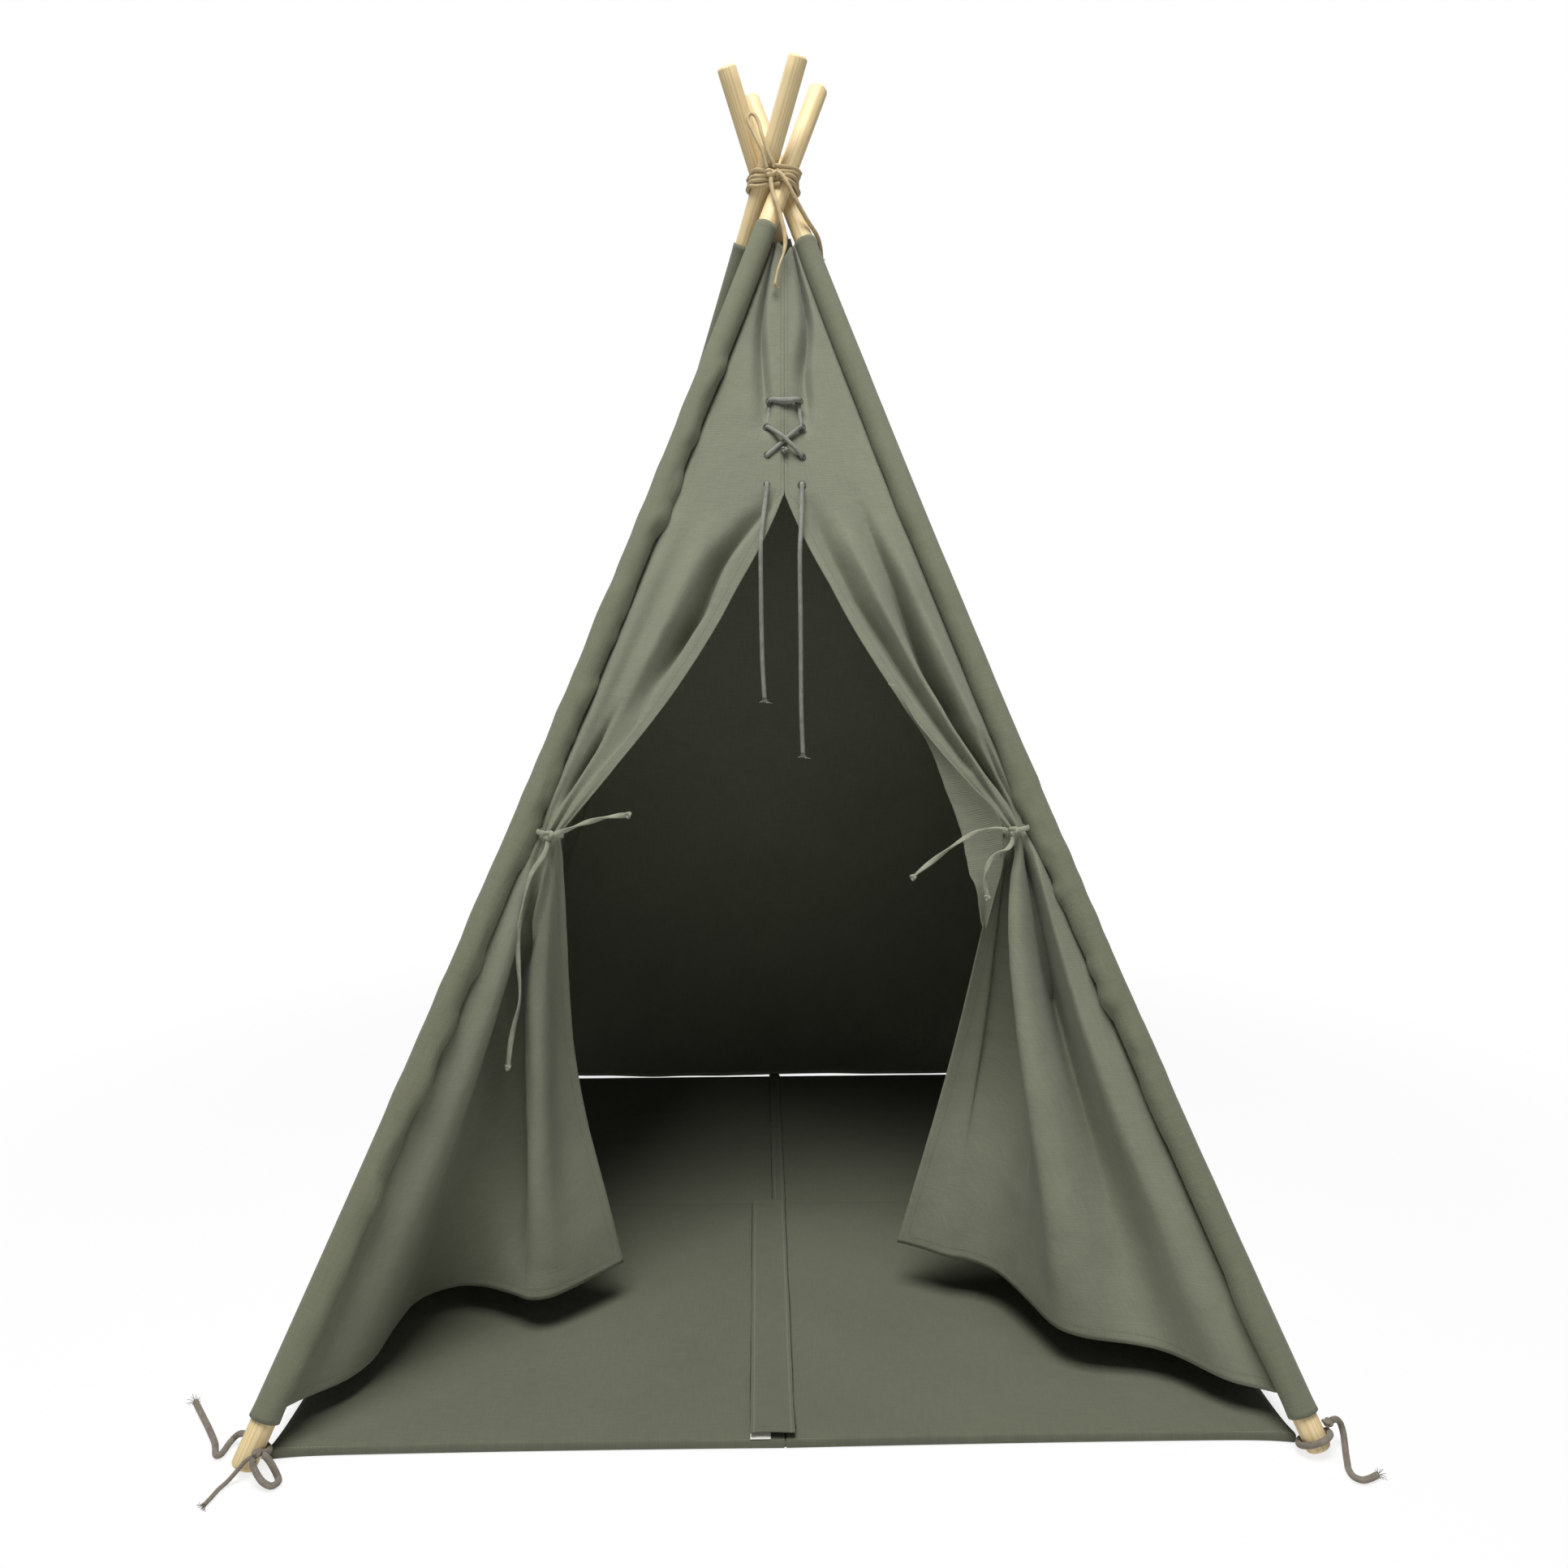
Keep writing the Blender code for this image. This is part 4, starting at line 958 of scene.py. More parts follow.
@dataclass
class Walls(Cover):
    """The back wall and the two side walls, slack between their sleeves."""

    top_drop: float = 0.08
    hem_height: float = 0.026
    back_hem: float = 0.0068
    corner_hem: float = 0.045
    sag: float = 0.007
    billows: Bumps = Bumps(0.0035, 0.17)
    seam_tucks: Bumps = Bumps(0.0012, 0.03)
    hem_waves: Bumps = Bumps(0.003, 0.09)
    columns: int = 110
    rows: int = 130

    def build(self) -> None:
        """Make the three walls."""
        self.build_wall("wall_left", "left_wall", Corner.REAR_LEFT, Corner.FRONT_LEFT)
        self.build_wall("wall_right", "right_wall", Corner.FRONT_RIGHT, Corner.REAR_RIGHT)
        self.build_wall("wall_back", "back_wall", Corner.REAR_RIGHT, Corner.REAR_LEFT)

    def build_wall(self, node: str, body: str, left: Corner, right: Corner) -> None:
        """Make one wall.

        Args:
            node: The CAD node that it stands for.
            body: The body that it rides on.
            left: The pole on its left, seen from outside.
            right: The pole on its right.
        """
        top = self.axes.crossing - self.top_drop
        normal = self.normal(left, right)
        seed = 2.0 + left.value[0] * 5 + left.value[1] * 9
        low = self.back_hem if node == "wall_back" else self.hem_height

        def height_at(across: float, up: float) -> float:
            lift = (2 * across - 1) ** 8
            hem = low + (self.corner_hem - low) * lift
            hem += 0.0012 * sin(11 * across + seed) * (1 - lift)
            return hem + (top - hem) * up

        def place(across: float, up: float) -> Vector:
            height = height_at(across, up)
            point = self.between(left, right, across, height)
            level = sin(pi * across)
            slack = self.sag * level * sin(pi * up)
            side = min(across, 1 - across) * 2
            stretch = Vector((point.x, point.y, point.z * 0.45))
            folds = self.billows.at(stretch, seed) * ease(side * 4)
            tucks = self.seam_tucks.at(point, seed + 4) * (1 - ease(side * 5)) * ease(side * 30)
            hem = self.hem_waves.at(point, seed + 8) * (1 - ease(up * 5)) * ease(side * 6)
            return point - normal * (slack + 0.001) + normal * (folds + tucks + hem)

        def flat(across: float, up: float) -> Spot:
            height = height_at(across, up)
            width = (self.axes.at(right, height) - self.axes.at(left, height)).length
            hem = (height - height_at(across, 0.0)) * SLOPE
            seam = min(across, 1 - across) * width + 0.005
            return (across - 0.5) * width, height * SLOPE, min(hem, seam, (top - height) + 0.002)

        bm = surface(self.columns, self.rows, place, flat)
        wall = piece_from(bm, f"{node}_cloth", self.finishes.canvas)
        solid_cloth(wall, self.cloth)
        dress(wall, body, "canvas", node)
        base = self.between(left, right, 0.0, 0.04) - self.between(left, right, 1.0, 0.04)
        slope = (top - self.hem_height) * SLOPE
        base.length
        base.length * slope * 0.53
        draw_in(wall)


@dataclass(frozen=True)
class Fold:
    """One fold of a hanging cloth, by the share of its height.

    line gives its place across, depth how far it stands out (or in, below 0), and before and
    after how wide it is on each side.
    """

    line: Rows
    depth: Rows
    before: float
    after: float

    def push(self, across: float, rise: float) -> float:
        """How far the fold pushes the cloth out at a place."""
        gap = across - table(self.line, rise)
        width = self.before if gap < 0 else self.after
        return table(self.depth, rise) * exp(-(gap / width) ** 2)


# The folds that the photo shows, from the sleeve (0) to the free edge (1): the panels' by the
# share of the way up from the tie to the door's apex, the skirts' by the share of the way down
PANEL_FOLDS = {
    Side.LEFT: (
        Fold(((0.12, 0.68), (0.23, 0.76), (0.31, 0.79), (0.4, 0.72), (0.56, 0.725), (0.64, 0.745),
             (0.79, 0.71), (0.89, 0.8), (0.955, 0.9)), ((0.0, 0.0), (0.15, -0.0005), (0.4, -0.0025),
             (0.5, -0.01), (0.58, -0.016), (0.75, -0.014), (0.9, -0.006), (1.02, 0.0)), 0.12, 0.05),
        Fold(((0.12, 0.41), (0.26, 0.42), (0.35, 0.41)), ((0.0, 0.0), (0.1, -0.005), (0.2, -0.008),
             (0.3, -0.003), (0.38, 0.0)), 0.08, 0.045),
        Fold(((0.0, 0.5), (1.0, 0.45)), ((0.1, 0.0), (0.3, 0.001), (0.5, 0.006), (0.95, 0.0)), 0.14,
             0.12),
        Fold(((0.0, 0.12), (1.0, 0.12)), ((0.0, 0.0), (0.2, 0.003), (0.7, 0.004), (1.0, 0.0)), 0.07,
             0.12),
        Fold(((1.25, 0.78), (1.3, 0.75), (1.42, 0.64), (1.58, 0.46), (1.75, 0.34)), ((1.18, 0.0),
             (1.28, -0.006), (1.5, -0.008), (1.82, -0.004)), 0.12, 0.08)),
    Side.RIGHT: (
        Fold(((0.11, 0.3), (0.185, 0.38), (0.28, 0.42), (0.356, 0.39), (0.445, 0.4), (0.55, 0.38),
             (0.71, 0.35)), ((0.0, -0.002), (0.1, -0.012), (0.2, -0.018), (0.45, -0.022),
             (0.6, -0.015), (0.75, -0.008), (0.95, -0.002), (1.05, 0.0)), 0.055, 0.1),
        Fold(((0.41, 0.71), (0.475, 0.73), (0.55, 0.74), (0.68, 0.81)), ((0.15, 0.0), (0.2, -0.004),
             (0.4, -0.008), (0.6, -0.01), (0.8, -0.007), (1.0, 0.0)), 0.1, 0.1),
        Fold(((0.0, 0.17), (0.3, 0.17)), ((0.0, 0.0), (0.05, -0.006), (0.2, -0.007), (0.28, 0.0)),
             0.07, 0.07),
        Fold(((0.2, 0.22), (0.9, 0.2)), ((0.15, 0.0), (0.3, 0.006), (0.7, 0.005), (0.95, 0.0)),
             0.09, 0.09),
        Fold(((0.1, 0.6), (0.9, 0.6)), ((0.0, 0.0), (0.15, 0.006), (0.7, 0.005), (0.95, 0.0)), 0.08,
             0.08),
        Fold(((1.25, 0.74), (1.3, 0.7), (1.42, 0.66), (1.58, 0.42), (1.75, 0.34)), ((1.18, 0.0),
             (1.28, -0.006), (1.5, -0.01), (1.82, -0.006)), 0.09, 0.14)),
}
SKIRT_FOLDS = {
    Side.LEFT: (
        Fold(((0.0, 0.57), (0.08, 0.65), (0.23, 0.59), (0.32, 0.54)), ((0.0, 0.001), (0.1, 0.006),
             (0.25, 0.006), (0.4, 0.0)), 0.1, 0.03),
        Fold(((0.0, 0.55), (0.08, 0.62), (0.23, 0.565), (0.32, 0.515), (0.47, 0.555), (0.65, 0.615),
             (0.92, 0.69), (1.0, 0.7)), ((0.0, 0.0), (0.18, -0.004), (0.3, -0.016), (0.6, -0.015),
             (0.85, -0.009), (1.0, -0.004)), 0.13, 0.05),
        Fold(((0.23, 0.535), (0.32, 0.485), (0.47, 0.525), (0.65, 0.585), (0.92, 0.66)),
             ((0.2, 0.0), (0.35, -0.006), (0.75, -0.006), (0.95, 0.0)), 0.05, 0.03),
        Fold(((0.28, 0.66), (0.57, 0.75), (0.87, 0.77)), ((0.1, 0.0), (0.28, 0.006), (0.6, 0.006),
             (0.95, 0.002)), 0.07, 0.07),
        Fold(((0.0, 0.17), (1.0, 0.15)), ((0.0, 0.0), (0.12, 0.005), (0.3, 0.009), (0.6, 0.01),
             (1.0, 0.006)), 0.1, 0.15),
        Fold(((0.0, 0.95), (1.0, 0.95)), ((0.0, 0.0), (0.12, -0.004), (0.45, -0.017),
             (0.65, -0.016), (0.9, -0.004), (1.0, 0.0)), 0.2, 0.3)),
    Side.RIGHT: (
        Fold(((0.08, 0.66), (0.23, 0.62), (0.45, 0.64), (0.7, 0.66)), ((0.0, 0.0), (0.08, -0.016),
             (0.25, -0.018), (0.5, -0.01), (0.8, 0.0)), 0.035, 0.13),
        Fold(((0.1, 0.72), (0.45, 0.78), (1.0, 0.82)), ((0.0, 0.0), (0.12, -0.007), (0.4, -0.021),
             (0.6, -0.021), (0.88, -0.007), (1.0, -0.002)), 0.15, 0.3),
        Fold(((0.08, 0.57), (0.23, 0.53), (0.45, 0.5), (0.75, 0.47)), ((0.0, 0.0), (0.1, 0.008),
             (0.3, 0.013), (0.75, 0.01), (1.0, 0.003)), 0.1, 0.045),
        Fold(((0.08, 0.36), (0.3, 0.37), (0.55, 0.33), (0.8, 0.3)), ((0.0, 0.0), (0.08, -0.019),
             (0.3, -0.027), (0.5, -0.02), (0.8, -0.009), (1.0, -0.002)), 0.07, 0.065),
        Fold(((0.1, 0.15), (0.42, 0.15), (0.72, 0.11)), ((0.0, 0.0), (0.1, 0.006), (0.4, 0.009),
             (0.8, 0.008), (1.0, 0.003)), 0.07, 0.08)),
}


@dataclass
class FrontCover(Cover):
    """The two front panels: sewn together over the door, drawn aside and gathered below it."""

    top_drop: float = 0.08
    top_dip: float = 0.012
    apex: float = 1.0
    tie_height: float = 0.604
    relief: float = 0.0064
    relief_height: float = 0.03
    gather_depth: float = 0.0032
    gather_folds: float = 2.6
    columns: int = 120
    rows: int = 170
    row_power: float = 1.25
    door_edge: Rows = ((0.0, 0.074), (0.05, 0.092), (0.12, 0.118), (0.2, 0.148), (0.3, 0.19),
                       (0.4, 0.232), (0.5, 0.272), (0.6, 0.312), (0.72, 0.36), (0.85, 0.425),
                       (1.0, 0.5))
    eyelet_rises: tuple[float, ...] = (0.011, 0.047, 0.085, 0.119)
    eyelet_spacing: float = 0.043
    groove: float = 0.007
    eyelet_diameter: float = 0.0078
    billows: Bumps = Bumps(0.0022, 0.11)
    creases: Bumps = Bumps(0.0008, 0.035)
    hem_waves: Bumps = Bumps(0.003, 0.05)
    hem_creases: Bumps = Bumps(0.0015, 0.012)
    fold_strength: float = 2.2
    folds: dict[Side, tuple[Fold, ...]] = field(default_factory=lambda: PANEL_FOLDS)

    def rise(self, height: float) -> float:
        """The share of the way from the tie (0) to the door's apex (1)."""
        return (height - self.tie_height) / (self.apex - self.tie_height)

    @property
    def out(self) -> Vector:
        """The way out of the tent through the front."""
        return self.normal(Corner.FRONT_LEFT, Corner.FRONT_RIGHT)

    def taut(self, side: Side, across: float, height: float) -> Vector:
        """A point of a panel before its folds: across is 0 at the sleeve and 1 at its edge."""
        left, right = Corner.FRONT_LEFT, Corner.FRONT_RIGHT
        start, end = self.axes.at(left, height), self.axes.at(right, height)
        span = (end - start).length
        seam = self.seam_share(left, right, height, side.corner)
        seam += self.relief * clamp(1 - abs(height - self.tie_height) / self.relief_height) / span
        edge = table(self.door_edge, clamp(self.rise(height))) - 0.00015 / span
        share = seam + (edge - seam) * across
        return start.lerp(end, share if side is Side.LEFT else 1 - share)

    def gathered(self, across: float, height: float) -> float:
        """How far the small folds at the tie stand out."""
        near = exp(-((height - self.tie_height) / 0.06) ** 2)
        calm = (1 - (1 - across) ** 6) * (1 - across ** 8)
        wave = sin(2 * pi * self.gather_folds * across + 0.5)
        return self.gather_depth * near * calm * wave

    def point(self, side: Side, across: float, height: float) -> Vector:
        """A point of a panel with its folds."""
        rise = self.rise(height)
        push = self.fold_strength * sum(fold.push(across, rise) for fold in self.folds[side])
        over = ease((rise - 0.97) / 0.1)
        calm = (1 - (1 - across) ** 9) * (1 - over * across ** 8)
        taut = self.taut(side, across, height)
        stretch = Vector((taut.x * 1.6, taut.y, taut.z * 0.55))
        push += self.billows.at(stretch, 5.0 + side.value) * ease(across * 6)
        push += self.creases.at(taut, 9.0 + side.value) * ease(across * 10)
        pull = 1 - 0.75 * exp(-(rise / 0.12) ** 2)
        push = push * calm * pull + self.gathered(across, height)
        wide = (taut - self.taut(side, 0.0, height)).length
        return taut + self.out * (push - self.groove * exp(-(wide / 0.005) ** 2))

    def seam(self, rise: float) -> Vector:
        """A point of the middle seam, at a rise over the door's apex."""
        height = self.apex + rise
        left, right = Corner.FRONT_LEFT, Corner.FRONT_RIGHT
        return self.axes.at(left, height).lerp(self.axes.at(right, height), 0.5)

    def eyelet(self, side: Side, rise: float) -> Vector:
        """The middle of an eyelet on the cloth."""
        half = self.eyelet_spacing / 2 - (0.0032 if rise == self.eyelet_rises[-1] else 0.0)
        return self.seam(rise) + Vector((side.value * half, 0.0, 0.0))

    def build(self) -> None:
        """Make both panels, their eyelets and the hem turned back behind the right one."""
        for side in Side:
            self.build_panel(side)
            self.build_eyelet_rims(side)
        self.build_turned_hem()

    def build_panel(self, side: Side) -> None:
        """Make one panel with its eyelet holes."""
        top = self.axes.crossing - self.top_drop
        low = self.tie_height + SEAM_GAP

        def height_at(across: float, up: float) -> float:
            dip = self.top_dip * across ** 2 * (1.0 if side is Side.LEFT else 1.9)
            return low + (top - dip - low) * up ** self.row_power

        def spread(across: float) -> float:
            return 0.6 * across + 0.4 * across * across

        def place(across: float, up: float) -> Vector:
            across = spread(across)
            return self.point(side, across, height_at(across, up))

        def flat(across: float, up: float) -> Spot:
            across = spread(across)
            height = height_at(across, up)
            width = (self.taut(side, 1.0, height) - self.taut(side, 0.0, height)).length
            over = ease((self.rise(height) - 0.96) / 0.05)
            edge = (1 - across) * width + 0.0068 * over
            hem = (height_at(across, 1.0) - height) * SLOPE + 0.004
            return across * (width + 0.05), height * SLOPE, min(edge, hem)

        bm = surface(self.columns, self.rows, place, flat)
        area = sum(face.calc_area() for face in bm.faces)
        name = f"front_panel_{side.label}"
        panel = piece_from(bm, f"{name}_cloth", self.finishes.canvas)
        solid_cloth(panel, self.cloth)
        self.cut_eyelets(panel, side)
        dress(panel, "front_panel", "canvas", name)
        draw_in(panel)

    def cut_eyelets(self, panel: Piece, side: Side) -> None:
        """Cut the round eyelets through a panel."""
        turn = Vector((0, 0, 1)).rotation_difference(self.out).to_matrix().to_4x4()
        bm = bmesh.new()
        for rise in self.eyelet_rises:
            bmesh.ops.create_cone(bm, cap_ends=True, segments=24, radius1=self.eyelet_diameter / 2,
                                  radius2=self.eyelet_diameter / 2, depth=0.02,
                                  matrix=Matrix.Translation(self.eyelet(side, rise)) @ turn)
        cutter = piece_from(bm, f"eyelet_cutter_{side.label}", self.finishes.shadow)
        holes = panel.modifiers.new("Eyelets", "BOOLEAN")
        holes.object = cutter
        holes.operation = "DIFFERENCE"
        holes.solver = "EXACT"
        bake_modifiers(panel)
        mesh = cutter.data
        bpy.data.objects.remove(cutter)
        bpy.data.meshes.remove(mesh)

    def build_eyelet_rims(self, side: Side) -> None:
        """Sew a rim of close stitches round each eyelet."""
        bm = bmesh.new()
        tilt = Vector((0, 0, 1)).rotation_difference(self.out)
        for rise in self.eyelet_rises:
            centre = self.eyelet(side, rise)
            ring = []
            for angle in round_turn(48):
                spoke = tilt @ Vector((cos(angle), sin(angle), 0.0))
                ring.append(centre + spoke * (self.eyelet_diameter / 2 + 0.0006))
            section = Section(0.0024, strands=4, lay=0.0036, depth=0.3, around=10)
            add_mesh(bm, swept(ring, section, closed=True))
        rims = piece_from(bm, f"eyelet_stitches_{side.label}", self.finishes.thread)
        dress(rims, "front_panel", "canvas")
        draw_in(rims)

    def build_turned_hem(self) -> None:
        """The right panel's hem, turned back behind its edge and hanging to a corner."""
        front = smooth_route(TURNED_HEM_FRONT, 0.002)
        back = smooth_route(TURNED_HEM_BACK, 0.002)

        def place(across: float, along: float) -> Vector:
            start = front[round(along * (len(front) - 1))] - self.out * 0.0035
            end = back[round(along * (len(back) - 1))]
            bulge = sin(pi * across) * 0.004 * along
            wave = self.hem_waves.at(end, 3.0) + self.hem_creases.at(end, 7.0)
            wave = wave * across * along
            wave += (0.011 - 0.007 * across) * (1 - ease(along / 0.2))
            return start.lerp(end, across) - self.out * bulge + Vector((wave, 0.0, 0.0))

        def flat(across: float, along: float) -> Spot:
            wide = (front[-1] - back[-1]).length * along
            return across * wide, along * 0.25, (1 - across) * wide

        bm = surface(24, 90, place, flat)
        area = sum(face.calc_area() for face in bm.faces)
        hem = piece_from(bm, "turned_hem_right", self.finishes.canvas)
        solid_cloth(hem, self.cloth)
        dress(hem, "front_panel", "canvas")
        draw_in(hem)


@dataclass
class Lacing:
    """The lace that closes the front over the door, with its ball and its two frayed ends."""

    cover: FrontCover
    finishes: Finishes
    diameter: float = 0.0055
    bend: float = 0.004
    ball: float = 0.009
    ball_rise: float = 0.053

    @property
    def section(self) -> Section:
        """The braided lace."""
        return Section(self.diameter, strands=6, lay=0.016, depth=0.2, braided=True, around=18)

    @property
    def off(self) -> float:
        """How far the lace's middle stands off the cloth's."""
        return self.cover.cloth / 2 + SEAM_GAP + self.diameter / 2

    def through(self, side: Side, rise: float, entering: Vector, leaving: Vector,
                outward: bool) -> list[Vector]:
        """The lace's points through one eyelet, from the back when outward is true."""
        normal = self.cover.out * (1 if outward else -1)
        centre = self.cover.eyelet(side, rise)
        off = self.off
        came, goes = (entering - centre).normalized(), (leaving - centre).normalized()
        return [centre - normal * off + came * self.bend,
                centre - normal * off * 0.75 + came * self.bend / 4, centre,
                centre + normal * off * 0.75 + goes * self.bend / 4,
                centre + normal * off + goes * self.bend]

    def build(self) -> None:
        """Make the lacing, the ball and both tails."""
        low, third, second, high = self.cover.eyelet_rises
        stops = [(Side.LEFT, low), (Side.LEFT, third), (Side.RIGHT, second), (Side.RIGHT, high),
                 (Side.LEFT, high), (Side.LEFT, second), (Side.RIGHT, third), (Side.RIGHT, low)]
        spots = [self.cover.eyelet(*stop) for stop in stops]
        out = self.cover.out
        off = self.off
        route: list[Vector] = []
        for number, stop in enumerate(stops):
            before = spots[number - 1] if number else spots[1]
            after = spots[number + 1] if number < len(stops) - 1 else spots[-2]
            route += self.through(*stop, before, after, number % 2 == 1)
            if number == 3:
                slack = spots[3].lerp(spots[4], 0.5) + out * (off + 0.0012)
                route.append(slack - Vector((0.0, 0.0, 0.0022)))
            if number == 5:
                route.append(spots[5].lerp(spots[6], 0.5) + out * (off + self.diameter + 0.0009))
        end = out * (self.cover.cloth / 2 + 0.0003)
        route = [spots[0] + end, *route[2:-2], spots[-1] + end]
        bar = swept(smooth_route(route, 0.0009), self.section,
                    thick=lambda along: 1 + 0.6 * exp(-((along - 0.5) / 0.04) ** 2))
        lace = piece_from(bar, "lacing_cord", self.finishes.lace)
        dress(lace, "front_panel", "lace", "lacing")
        draw_in(lace)
        centre = self.cover.seam(self.ball_rise)
        centre += out * (self.cover.cloth / 2 + SEAM_GAP + self.ball / 2)
        ball = piece_from(knotted(centre, Vector((self.ball,) * 3), 0.0026), "lace_ball",
                          self.finishes.lace)
        dress(ball, "front_panel", "lace", "lace_bead")
        draw_in(ball)
        for side, offsets, spot in ((Side.LEFT, LACE_TAIL_LEFT, spots[0]),
                                    (Side.RIGHT, LACE_TAIL_RIGHT, spots[-1])):
            tail = FreeCord(f"lace_tail_{side.label}", "front_panel", "lace", offsets, spot,
                            self.section, "bare", "hanging", fray=0.008, crumples=True)
            tail.build(self.finishes.lace)


@dataclass
class FreeCord:
    """A cord with a free end, on the CAD's route.

    offsets are the route's points from its start. fray is how long its loose yarns are, and
    end_knot is the size of a knot at its end.
    """

    name: str
    body: str
    slot: str
    offsets: Sequence[Sequence[float]]
    start: Vector
    section: Section
    far_end: str
    lay: str
    fray: float = 0.0
    end_knot: float = 0.0
    taper: float = 0.0
    crumples: bool = False

    def build(self, material: Material) -> None:
        points = smooth_route([self.start + Vector(offset) for offset in self.offsets],
                              self.section.spacing)
        cord = swept(points, self.section,
                     thick=lambda along: 1 - self.taper * ease((along - 0.6) / 0.15))
        piece = piece_from(cord, f"{self.name}_cord", material)
        dress(piece, self.body, self.slot, self.name)
        ends = []
        if self.fray:
            ends.append(self.frayed(points, material))
        if self.end_knot:
            size = Vector((self.end_knot, self.end_knot, self.end_knot * 1.15))
            bm = knotted(points[-1], size, self.end_knot * 0.42)
            ends.append(piece_from(bm, f"{self.name}_end", material))
        for end in ends:
            dress(end, self.body, self.slot)
        length_of(points)
        self.section.diameter
        if self.crumples:
            for part in (piece, *ends):
                draw_in(part)

    def frayed(self, points: Sequence[Vector], material: Material) -> Piece:
        """Loose yarns that spread from the cord's end."""
        end, way = points[-1], (points[-1] - points[-4]).normalized()
        side = way.orthogonal().normalized()
        bm = bmesh.new()
        for number in range(13):
            angle = 2.4 * number
            spoke = Quaternion(way, angle) @ side
            reach = self.section.diameter * 0.36 * sqrt((number + 0.5) / 13)
            long = self.fray * (0.6 + 0.4 * abs(sin(5.1 * number)))
            yarn = [end - way * 0.003 + spoke * reach,
                    end + way * long * 0.4 + spoke * (reach * 1.3 + long * 0.06),
                    end + way * long * 0.75 + spoke * (reach * 1.6 + long * 0.3),
                    end + way * long * 0.9 + spoke * (reach * 1.7 + long * 0.8)]
            add_mesh(bm, swept(smooth_route(yarn, 0.001), Section(0.0009, around=6),
                               thick=lambda along: 1 - 0.55 * along))
        return piece_from(bm, f"{self.name}_fray", material)


def knotted(centre: Vector, size: Vector, thick: float) -> Shape:
    """An overhand knot drawn tight inside a box, over a full core.

    Args:
        centre: The middle of the knot.
        size: The box's width, depth and height.
        thick: The cord's diameter.

    Returns:
        The knot's bmesh.
    """
    points = []
    for t in round_turn(96):
        points.append(Vector((sin(t) + 2 * sin(2 * t), -sin(3 * t) * 1.4,
                              cos(t) - 2 * cos(2 * t))))
    reach = [max(abs(point[axis]) for point in points) for axis in range(3)]
    scale = [max(0.0, size[axis] - thick) / 2 / reach[axis] for axis in range(3)]
    laid = [centre + Vector((p.x * scale[0], p.y * scale[1], p.z * scale[2])) for p in points]
    bm = swept(laid, Section(thick, strands=3, lay=thick * 3, depth=0.12, around=12), closed=True)
    bmesh.ops.create_uvsphere(bm, u_segments=20, v_segments=12, radius=0.5,
                              matrix=Matrix.Translation(centre) @ Matrix.Diagonal(
                                  (size.x * 0.8, size.y * 0.8, size.z * 0.8, 1.0)))
    return bm


def tie_knot(node: str, suffix: str, thick: float, material: Material, body: str,
             slot: str) -> Vector:
    """Tie the knot that stands for a CAD node inside the node's box, and give its middle."""
    low, high = (Vector(corner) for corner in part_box(node))
    middle = (low + high) / 2
    knot = piece_from(knotted(middle, high - low, thick), f"{node}_{suffix}", material)
    dress(knot, body, slot, node)
    return middle


